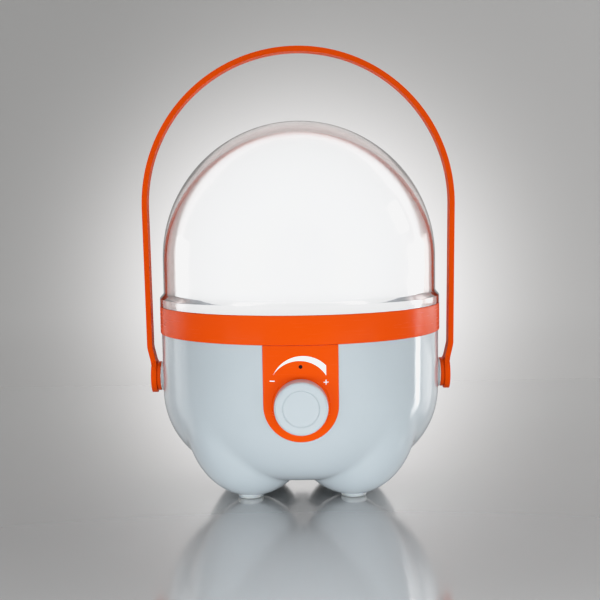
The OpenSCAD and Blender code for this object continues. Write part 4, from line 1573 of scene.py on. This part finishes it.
def filmFromStrip(name, lower, upper):
    # thin closed film between two rows of (x, z) points, lying on the panel's face
    m = marks
    points, faces = [], []
    count = len(lower)
    for lift in (m["lift"], m["lift"] + m["thick"]):
        for row in (lower, upper):
            points.extend((x, -frontSurface(x, z, lift), z) for x, z in row)
    for i in range(count - 1):
        a, b, c, d = i, i + 1, count + i + 1, count + i
        faces.append((a, b, c, d))
        faces.append(tuple(v + 2 * count for v in (d, c, b, a)))
        faces.append((a, a + 2 * count, b + 2 * count, b))
        faces.append((d, c, c + 2 * count, d + 2 * count))
    for a, d in ((0, count), (count - 1, 2 * count - 1)):
        faces.append((a, d, d + 2 * count, a + 2 * count))
    return meshObject(name, points, faces, 40)


def brightnessMarks():
    m = marks
    steps = m["steps"]
    lower, upper = [], []
    for k in range(steps + 1):
        # steps are shorter near the ends, where the arc is steep
        x = m["leftTip"] + (m["rightCut"] - m["leftTip"]) * (1 - math.cos(math.pi * k / steps)) / 2
        for row, (radius, across, height) in ((lower, m["inner"]), (upper, m["outer"])):
            row.append((x, height + math.sqrt(radius ** 2 - (x - across) ** 2)))
    pieces = [filmFromStrip("arc", lower, upper)]
    half, stroke = m["sign"] / 2, m["stroke"] / 2
    for (x, z), upright in ((m["minusAt"], False), (m["plusAt"], True)):
        row = [x - half + m["sign"] * k / 8 for k in range(9)]
        bars = [(row, z - stroke, z + stroke)]
        if upright:
            row = [x - stroke, x, x + stroke]
            bars += [(row, z - half, z - stroke), (row, z + stroke, z + half)]
        for row, low, high in bars:
            pieces.append(filmFromStrip("bar", [(v, low) for v in row], [(v, high) for v in row]))
    return joined("brightnessMarks", pieces)


def indicatorLens():
    # a dark bead that stands a little proud of the panel
    low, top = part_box("indicator_lens")
    radius = top.x
    height = (low.z + top.z) / 2
    face = frontSurface(0, height, panel["proud"])
    outline = filleted([
        (0, 0.14 * mm, 0), (radius * 0.6, 0.11 * mm, 0.6 * mm), (radius, 0.02 * mm, 0.1 * mm),
        (radius, -2 * mm, 0), (0, -2 * mm, 0),
    ])
    return revolved("indicatorLens", outline, 40, pointing("front", (0, -face, height)))


finished(controlPanel(), orangeMaterial, "body", ["control_panel"])
finished(brightnessMarks(), inkMaterial, "body", ["panel_marks"])
finished(indicatorLens(), smokedMaterial, "body", ["indicator_lens"])
print("control panel made")


footPad = {"radius": 6.2 * mm, "fillet": 0.8 * mm, "rim": (2.2 * mm, 1.9 * mm), "hollow": 0.15 * mm}


def footPads():
    pad = footPad
    radius, tall = pad["radius"], padBox[1].z
    unit = revolved("padUnit", filleted([
        (0, pad["hollow"], 0), (radius - pad["rim"][0], pad["hollow"], 0.5 * mm),
        (radius - pad["rim"][1], 0, 0.1 * mm), (radius, 0, pad["fillet"]),
        (radius, tall, 0.5 * mm), (0, tall, 0),
    ]), 64)
    ring = ringOf("footPads", unit, {
        "finish": padMaterial, "count": 4, "facing": "X", "firstAngle": 45.0, "looseTurn": 0.5,
        "radius": (padBox[1].x - radius) * math.sqrt(2), "height": 0.0,
    })
    bpy.data.objects.remove(unit)
    return ring


washer = {"bore": 4.15 * mm, "thick": 0.4 * mm}


def pivotWashers():
    low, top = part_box("pivot_washers")
    bore, thick, outer = washer["bore"], washer["thick"], (top.z - low.z) / 2
    unit = revolved("washerUnit", filleted([
        (bore, 0, 0.1 * mm), (outer, 0, 0.12 * mm), (outer, thick, 0.12 * mm), (bore, thick, 0.1 * mm),
    ], 3), 64)
    ring = ringOf("pivotWashers", unit, {
        "finish": nylonMaterial, "count": 2, "facing": "Z", "firstAngle": 0.0, "looseTurn": 0.0,
        "radius": top.x - thick, "height": pivotHeight,
    })
    bpy.data.objects.remove(unit)
    return ring


jack = {"barrel": 3.95, "flange": 5.6, "flangeFrom": 68.95, "mouth": 3.5, "bore": 2.85, "boreEnd": 60}  # mm


def chargingJack():
    # flange and barrel of the charging socket at the back
    j = jack
    back, face = jackBox[0].y / mm, jackBox[1].y / mm
    outline = filleted(scaled([
        (0, back, 0), (j["barrel"], back, 0.3), (j["barrel"], j["flangeFrom"], 0.2),
        (j["flange"], j["flangeFrom"], 0.1), (j["flange"], face, 0.45), (j["mouth"], face, 0.15),
        (j["bore"], face - 0.6, 0.2), (j["bore"], j["boreEnd"], 0.1), (0, j["boreEnd"], 0),
    ]))
    return revolved("chargingJack", outline, 72, pointing("back", (0, 0, jackHeight)))


finished(footPads(), padMaterial, "body", ["foot_pads"])
finished(pivotWashers(), nylonMaterial, "body", ["pivot_washers"])
finished(chargingJack(), blackMaterial, "body", ["jack_body"])
print("pads, washers and jack made")


knobShape = {  # millimetres
    "radius": knobRadius / mm, "length": (knobBox[1].y - knobBox[0].y) / mm, "wall": 2.4,
    "dish": 8.0, "dishDepth": 0.6, "crown": 0.12,
    "socket": 4.6, "socketTop": 2.5, "shaft": 3.0, "shaftEnd": 1.4,
}


def dimmerKnob():
    k = knobShape
    r, length, dish, wall = k["radius"], k["length"], k["dish"], k["wall"]
    floor, shaftEnd = length - k["dishDepth"], length - k["shaftEnd"]
    outline = filleted(scaled([
        (0, floor + k["crown"], 0), (dish - 1.5, floor + k["crown"] / 2, 3), (dish - 0.25, floor, 0.3),
        (dish + 0.35, length - 0.04, 0.2), (r - 0.35, length, 1.5), (r, 0.15, 0.25),
        (r - 0.25, 0, 0.1), (r - wall, 0, 0.2), (r - wall, length - wall, 0.4),
        (k["socket"], length - wall, 0.3), (k["socket"], k["socketTop"], 0.2),
        (k["shaft"], k["socketTop"], 0.2), (k["shaft"], shaftEnd, 0), (0, shaftEnd, 0),
    ]), 6)
    face = pointing("front", (0, knobBox[1].y, knobHeight))
    return revolved("dimmerKnob", outline, 128, face, 30)


finished(dimmerKnob(), whiteShadePaintedMaterial, "knob", ["dimmer_knob"])
print("knob made")


strap = {
    "thick": 2.6 * mm, "width": 8 * mm, "archRadius": handleBox[1].x - 1.3 * mm,
    "archHeight": handleBox[1].z - handleBox[1].x,
    "legTop": handleBox[1].x - 1.3 * mm, "legLow": (handleBox[1].x - 2.2 * mm, 71 * mm),
    "eyeX": 73.7 * mm, "eyeTop": 62 * mm, "eyeRadius": 8.3 * mm,
    "eyeSweep": 0.78,  # as a share of half a turn
    "lowBend": 9 * mm, "highBend": 12 * mm, "neck": 2.2 * mm, "step": 1.2 * mm, "bevel": 0.45 * mm,
    "eyeSteps": 24, "bendSteps": 12, "archSteps": 45,
}


def strapPath():
    # centreline (x, z) of the right half, from the eye's tip to the crown, and its half width
    s = strap
    corners = [
        (s["eyeX"], pivotHeight - s["eyeRadius"], 0), (s["eyeX"], s["eyeTop"], s["lowBend"]),
        (*s["legLow"], s["highBend"]), (s["legTop"], s["archHeight"], 0),
    ]
    line = []
    for i in range(len(corners)):
        here = Vector(corners[i][:2])
        if corners[i][2] == 0:
            line.append(here)
            continue
        before = Vector(corners[i - 1][:2]) - here
        after = Vector(corners[i + 1][:2]) - here
        half = before.angle(after) / 2
        back = min(corners[i][2] / math.tan(half), before.length * 0.45, after.length * 0.45)
        for k in range(s["bendSteps"] + 1):
            t = k / s["bendSteps"]
            a, b = here + before.normalized() * back, here + after.normalized() * back
            line.append(a * (1 - t) ** 2 + here * 2 * t * (1 - t) + b * t ** 2)
    path = []
    for k in range(s["eyeSteps"] + 1):
        a = math.pi * k / s["eyeSteps"] * s["eyeSweep"]
        path.append(Vector((s["eyeX"], pivotHeight - s["eyeRadius"] * math.cos(a))))
    bottom = path[-1].y
    for i in range(len(line) - 1):
        a, b = line[i], line[i + 1]
        steps = max(1, int((b - a).length / s["step"]))
        for k in range(steps):
            p = a.lerp(b, k / steps)
            if p.y > bottom + 0.2 * mm:
                path.append(p)
    for k in range(s["archSteps"] + 1):
        a = math.pi / 2 * k / s["archSteps"]
        path.append(Vector((s["archRadius"] * math.cos(a), s["archHeight"] + s["archRadius"] * math.sin(a))))
    widths = []
    for p in path:
        up = p.y - pivotHeight
        disc = math.sqrt(max(s["eyeRadius"] ** 2 - up ** 2, 0)) if abs(up) < s["eyeRadius"] else 0
        half = s["width"] / 2
        if up <= 0:
            widths.append(disc)
        else:
            gap = max(s["neck"] - abs(disc - half), 0) / s["neck"]
            widths.append(max(disc, half) + gap * gap * s["neck"] / 4)
    return path, widths


def strapHandle():
    path, widths = strapPath()
    full = [(p.x, p.y) for p in path] + [(-p.x, p.y) for p in reversed(path[:-1])]
    wide = widths + list(reversed(widths[:-1]))
    points, faces = [], []
    count = len(full)
    for i, (x, z) in enumerate(full):
        a, b = full[max(i - 1, 0)], full[min(i + 1, count - 1)]
        along = Vector((b[0] - a[0], b[1] - a[1])).normalized()
        side = Vector((along.y, -along.x)) * strap["thick"] / 2
        for sign in (1, -1):
            for y in (-wide[i], wide[i]):
                points.append((x + sign * side.x, y, z + sign * side.y))
    for i in range(count - 1):
        a, b = 4 * i, 4 * i + 4
        for j, k in ((0, 1), (1, 3), (3, 2), (2, 0)):
            faces.append((a + j, a + k, b + k, b + j))
    piece = meshObject("strapHandle", points, faces, 35)
    soften = piece.modifiers.new("roundedEdges", "BEVEL")
    soften.width = strap["bevel"]
    soften.segments = 3
    soften.limit_method = "ANGLE"
    soften.angle_limit = math.radians(50)
    soften.harden_normals = True
    return piece


pivot = {  # millimetres, from the lantern's axis outwards
    "axle": 4, "axleFrom": 62.6, "screwHole": 1.3, "screwEnd": 69.6,
    "disc": 7.3, "discFrom": 70.4, "discTo": 72.4, "pin": 2.95, "pinTo": 75,
}


def pivotDiscs():
    # orange disc with its axle and the pin that fills the strap's eye, one at each side
    p = pivot
    outline = filleted(scaled([
        (0, p["pinTo"], 0), (p["pin"], p["pinTo"], 0.3), (p["pin"], p["discTo"], 0),
        (p["disc"], p["discTo"], 0.3), (p["disc"], p["discFrom"], 0.4), (p["axle"], p["discFrom"], 0.1),
        (p["axle"], p["axleFrom"], 0.3), (p["screwHole"], p["axleFrom"], 0.1),
        (p["screwHole"], p["screwEnd"], 0), (0, p["screwEnd"], 0),
    ]), 4)
    return joined("pivotDiscs", [
        revolved("disc", outline, 64, pointing(way, (0, 0, pivotHeight))) for way in ("right", "left")
    ])


finished(strapHandle(), strapMaterial, "carry_handle", ["handle"])
finished(pivotDiscs(), orangeMaterial, "carry_handle", ["handle_pivots"])
print("handle made")


# the backdrop's round glow, its wings and its brighter right side are light painted into it as emission, not
# thrown on it by a lamp
stageSetup = {
    "tableNear": -1.6, "tableFar": 0.366, "edgeRadius": 0.05, "tableHalf": 1.5, "tableDrop": 0.3,
    "wallAt": 0.95, "wallHalf": 2.2, "wallLow": -0.8, "wallTop": 2.0,
    "tableColour": (0.38, 0.375, 0.372), "tableRoughness": 0.1, "tableGloss": 2.7,
    "wallColour": (0.46, 0.448, 0.436),
    "glowHeight": 0.026, "glowSpread": 0.156, "paintedGlowPower": 1.17, "glowMost": 0.69,
    "wingFrom": 0.43, "wingTo": 0.54, "paintedWingPower": 0.64,  # painted pale wings of light just outside the view
    "paintedSlant": (0.12, 0.03),  # painted brightening: the right side is a little brighter
}


def tableMaterial():
    s = stageSetup
    material, tree = emptyMaterial("paleTable")
    polishFrame = tree.nodes.new("NodeFrame")
    polishFrame.label = "uneven polish"

    place = tree.nodes.new("ShaderNodeTexCoord")
    place.label = "place on the table"

    smudge = tree.nodes.new("ShaderNodeTexNoise")
    smudge.label = "slight unevenness"
    smudge.parent = polishFrame
    smudge.inputs["Scale"].default_value = 6.0

    shine = tree.nodes.new("ShaderNodeMapRange")
    shine.label = "gloss from unevenness"
    shine.parent = polishFrame
    shine.inputs["To Min"].default_value = s["tableRoughness"] * 0.9
    shine.inputs["To Max"].default_value = s["tableRoughness"] * 1.1

    top = tree.nodes.new("ShaderNodeBsdfPrincipled")
    top.label = "polished table"
    top.inputs["Base Color"].default_value = (*s["tableColour"], 1)
    top.inputs["IOR"].default_value = s["tableGloss"]
    top.inputs["Coat Weight"].default_value = 0.8
    top.inputs["Coat IOR"].default_value = 2.0
    top.inputs["Coat Roughness"].default_value = s["tableRoughness"]

    surface = tree.nodes.new("ShaderNodeOutputMaterial")
    surface.label = "surface"

    tree.links.new(place.outputs["Object"], smudge.inputs["Vector"])
    tree.links.new(smudge.outputs["Fac"], shine.inputs["Value"])
    tree.links.new(shine.outputs["Result"], top.inputs["Roughness"])
    tree.links.new(top.outputs["BSDF"], surface.inputs["Surface"])
    spreadOut(tree)
    return material


def wallMaterial():
    s = stageSetup
    material, tree = emptyMaterial("paintedGlowBackdrop")
    glowFrame = tree.nodes.new("NodeFrame")
    glowFrame.label = "painted glow behind the lantern"
    wingFrame = tree.nodes.new("NodeFrame")
    wingFrame.label = "painted wings of light"
    sumFrame = tree.nodes.new("NodeFrame")
    sumFrame.label = "painted light summed"

    place = tree.nodes.new("ShaderNodeTexCoord")
    place.label = "place on the backdrop"

    reach = tree.nodes.new("ShaderNodeVectorMath")
    reach.label = "distance from the middle of the glow"
    reach.parent = glowFrame
    reach.operation = "DISTANCE"
    reach.inputs[1].default_value = (0.0, s["wallAt"], s["glowHeight"])

    square = tree.nodes.new("ShaderNodeMath")
    square.label = "squared"
    square.parent = glowFrame
    square.operation = "POWER"
    square.inputs[1].default_value = 2.0

    narrow = tree.nodes.new("ShaderNodeMath")
    narrow.label = "against the spread of the glow"
    narrow.parent = glowFrame
    narrow.operation = "MULTIPLY"
    narrow.inputs[1].default_value = -0.5 / s["glowSpread"] ** 2

    fade = tree.nodes.new("ShaderNodeMath")
    fade.label = "soft fall-off"
    fade.parent = glowFrame
    fade.operation = "EXPONENT"

    power = tree.nodes.new("ShaderNodeMath")
    power.label = "strength of the glow"
    power.parent = glowFrame
    power.operation = "MULTIPLY"
    power.inputs[1].default_value = s["paintedGlowPower"]

    even = tree.nodes.new("ShaderNodeMath")
    even.label = "even in the middle"
    even.parent = glowFrame
    even.operation = "SMOOTH_MIN"
    even.inputs[1].default_value = s["glowMost"]
    even.inputs[2].default_value = 0.15

    sides = tree.nodes.new("ShaderNodeSeparateXYZ")
    sides.label = "left to right"
    sides.parent = wingFrame

    aside = tree.nodes.new("ShaderNodeMath")
    aside.label = "how far aside"
    aside.parent = wingFrame
    aside.operation = "ABSOLUTE"

    outer = tree.nodes.new("ShaderNodeMath")
    outer.label = "aside or above"
    outer.parent = wingFrame
    outer.operation = "MAXIMUM"

    wing = tree.nodes.new("ShaderNodeMapRange")
    wing.label = "painted light wings round the glow"
    wing.parent = wingFrame
    wing.interpolation_type = "SMOOTHSTEP"
    wing.inputs["From Min"].default_value = s["wingFrom"]
    wing.inputs["From Max"].default_value = s["wingTo"]
    wing.inputs["To Max"].default_value = s["paintedWingPower"]

    paintedSlant = tree.nodes.new("ShaderNodeMath")
    paintedSlant.label = "painted brightening to the right"
    paintedSlant.parent = sumFrame
    paintedSlant.operation = "MULTIPLY_ADD"
    paintedSlant.use_clamp = True
    paintedSlant.inputs[1].default_value = s["paintedSlant"][0]
    paintedSlant.inputs[2].default_value = s["paintedSlant"][1]

    both = tree.nodes.new("ShaderNodeMath")
    both.label = "glow and wings"
    both.parent = sumFrame
    both.operation = "ADD"

    total = tree.nodes.new("ShaderNodeMath")
    total.label = "all the painted light on the backdrop"
    total.parent = sumFrame
    total.operation = "ADD"

    cloth = tree.nodes.new("ShaderNodeBsdfPrincipled")
    cloth.label = "backdrop cloth with painted glow"
    cloth.inputs["Base Color"].default_value = (*s["wallColour"], 1)
    cloth.inputs["Roughness"].default_value = 1.0
    cloth.inputs["Specular IOR Level"].default_value = 0.0
    # this emission is painted light: the round glow behind the lantern, the wings to the sides and the
    # brighter right side
    cloth.inputs["Emission Color"].default_value = (1.0, 0.985, 0.985, 1)

    surface = tree.nodes.new("ShaderNodeOutputMaterial")
    surface.label = "surface"

    tree.links.new(place.outputs["Object"], reach.inputs[0])
    tree.links.new(reach.outputs["Value"], square.inputs[0])
    tree.links.new(square.outputs["Value"], narrow.inputs[0])
    tree.links.new(narrow.outputs["Value"], fade.inputs[0])
    tree.links.new(fade.outputs["Value"], power.inputs[0])
    tree.links.new(sides.outputs["X"], aside.inputs[0])
    tree.links.new(aside.outputs["Value"], outer.inputs[0])
    tree.links.new(sides.outputs["Z"], outer.inputs[1])
    tree.links.new(outer.outputs["Value"], wing.inputs["Value"])
    tree.links.new(place.outputs["Object"], sides.inputs["Vector"])
    tree.links.new(sides.outputs["X"], paintedSlant.inputs[0])
    tree.links.new(power.outputs["Value"], even.inputs[0])
    tree.links.new(even.outputs["Value"], both.inputs[0])
    tree.links.new(wing.outputs["Result"], both.inputs[1])
    tree.links.new(both.outputs["Value"], total.inputs[0])
    tree.links.new(paintedSlant.outputs["Value"], total.inputs[1])
    tree.links.new(total.outputs["Value"], cloth.inputs["Emission Strength"])
    tree.links.new(cloth.outputs["BSDF"], surface.inputs["Surface"])
    spreadOut(tree)
    return material


def sheetAlong(name, profile, half, material):
    # a sheet drawn sideways along a profile of (y, z)
    points = [(x, y, z) for x in (-half, half) for y, z in profile]
    count = len(profile)
    faces = [(i, count + i, count + i + 1, i + 1) for i in range(count - 1)]
    mesh = bpy.data.meshes.new(name)
    mesh.from_pydata(points, [], faces)
    mesh.shade_smooth()
    mesh.materials.append(material)
    sheet = bpy.data.objects.new(name, mesh)
    bpy.context.scene.collection.objects.link(sheet)


def makeStage():
    s = stageSetup
    radius = s["edgeRadius"]
    profile = [(s["tableNear"], 0.0), (s["tableFar"] - radius, 0.0)]
    for k in range(1, 9):
        a = math.pi / 2 * k / 8
        profile.append((s["tableFar"] - radius * (1 - math.sin(a)), -radius * (1 - math.cos(a))))
    profile.append((s["tableFar"], -s["tableDrop"]))
    sheetAlong("table", profile, s["tableHalf"], tableMaterial())
    wall = [(s["wallAt"], s["wallLow"]), (s["wallAt"], s["wallTop"])]
    sheetAlong("backdrop", wall, s["wallHalf"], wallMaterial())


studioSetup = {
    "dim": (0.42, 0.42, 0.42), "bright": (0.86, 0.885, 0.905),
    "towards": (0.0, -0.98, 0.10), "from": -0.2, "to": 0.85,
    "standFrom": 0.80, "standTo": 0.95, "stand": 0.5,  # the dimmer middle, where the camera stands
}


def makeWorld():
    s = studioSetup
    world = bpy.data.worlds.new("studio")
    world.use_nodes = True
    tree = world.node_tree
    tree.nodes.clear()
    lightFrame = tree.nodes.new("NodeFrame")
    lightFrame.label = "big soft light in front"
    standFrame = tree.nodes.new("NodeFrame")
    standFrame.label = "shadow of the camera's stand"

    place = tree.nodes.new("ShaderNodeTexCoord")
    place.label = "direction"

    facing = tree.nodes.new("ShaderNodeVectorMath")
    facing.label = "how near to the big soft light"
    facing.parent = lightFrame
    facing.operation = "DOT_PRODUCT"
    facing.inputs[1].default_value = Vector(s["towards"]).normalized()

    spread = tree.nodes.new("ShaderNodeMapRange")
    spread.label = "soft edge of the big light"
    spread.parent = lightFrame
    spread.interpolation_type = "SMOOTHSTEP"
    spread.inputs["From Min"].default_value = s["from"]
    spread.inputs["From Max"].default_value = s["to"]

    stand = tree.nodes.new("ShaderNodeVectorMath")
    stand.label = "how near to the camera's stand"
    stand.parent = standFrame
    stand.operation = "DOT_PRODUCT"
    stand.inputs[1].default_value = (0, -1, 0)

    shadow = tree.nodes.new("ShaderNodeMapRange")
    shadow.label = "soft shadow of the stand"
    shadow.parent = standFrame
    shadow.interpolation_type = "SMOOTHSTEP"
    shadow.inputs["From Min"].default_value = s["standFrom"]
    shadow.inputs["From Max"].default_value = s["standTo"]
    shadow.inputs["To Min"].default_value = 1.0
    shadow.inputs["To Max"].default_value = s["stand"]

    front = tree.nodes.new("ShaderNodeMath")
    front.label = "front light less the stand"
    front.operation = "MULTIPLY"

    blend = tree.nodes.new("ShaderNodeMix")
    blend.label = "dim room to bright light"
    blend.data_type = "RGBA"
    blend.inputs[6].default_value = (*s["dim"], 1)
    blend.inputs[7].default_value = (*s["bright"], 1)

    sky = tree.nodes.new("ShaderNodeBackground")
    sky.label = "studio"

    surface = tree.nodes.new("ShaderNodeOutputWorld")
    surface.label = "world"

    tree.links.new(place.outputs["Generated"], facing.inputs[0])
    tree.links.new(facing.outputs["Value"], spread.inputs["Value"])
    tree.links.new(place.outputs["Generated"], stand.inputs[0])
    tree.links.new(stand.outputs["Value"], shadow.inputs["Value"])
    tree.links.new(spread.outputs["Result"], front.inputs[0])
    tree.links.new(shadow.outputs["Result"], front.inputs[1])
    tree.links.new(front.outputs["Value"], blend.inputs[0])
    tree.links.new(blend.outputs[2], sky.inputs["Color"])
    tree.links.new(sky.outputs["Background"], surface.inputs["Surface"])
    spreadOut(tree)
    bpy.context.scene.world = world


lamps = {
    "rightStrip": {"at": (0.76, 0.23, 0.09), "towards": (0, 0, 0.08), "size": (0.10, 0.17), "power": 0.62},
    "rightBack": {"at": (0.66, 0.44, 0.10), "towards": (0, 0, 0.08), "size": (0.26, 0.2), "power": 0.30},
    "frontCard": {  # a low soft strip in front, just out of view
        "at": (0, -0.25, 0.022), "towards": (0, 0, 0.012), "size": (0.7, 0.04), "power": 0.68,
        "colour": (0.92, 0.98, 1.0), "hidden": True,
    },
    "bounceCard": {  # what the table throws back up under the bowl
        "at": (0, -0.07, 0.0015), "towards": (0, -0.07, 1), "size": (0.13, 0.08), "power": 0.013,
        "colour": (0.94, 0.98, 1.0), "hidden": True,
    },
    "rightWindow": {"at": (0.74, 0.10, 0.40), "towards": (0, 0, 0.1), "size": (0.16, 0.22), "power": 0.35},
    "leftPanel": {"at": (-0.78, 0.30, 0.12), "towards": (0, 0, 0.1), "size": (0.3, 0.24), "power": 0.3},
}


def areaLight(name, lamp):
    data = bpy.data.lights.new(name, "AREA")
    data.shape = "RECTANGLE"
    data.size, data.size_y = lamp["size"]
    data.energy = lamp["power"]
    data.color = lamp.get("colour", (1, 1, 1))
    light = bpy.data.objects.new(name, data)
    bpy.context.scene.collection.objects.link(light)
    light.location = lamp["at"]
    aim = Vector(lamp["towards"]) - Vector(lamp["at"])
    light.rotation_euler = aim.to_track_quat("-Z", "Y").to_euler()
    if lamp.get("hidden"):
        light.visible_camera = False
        light.visible_glossy = False


makeStage()
makeWorld()
for name, lamp in lamps.items():
    areaLight(name, lamp)
print("stage and lights made")
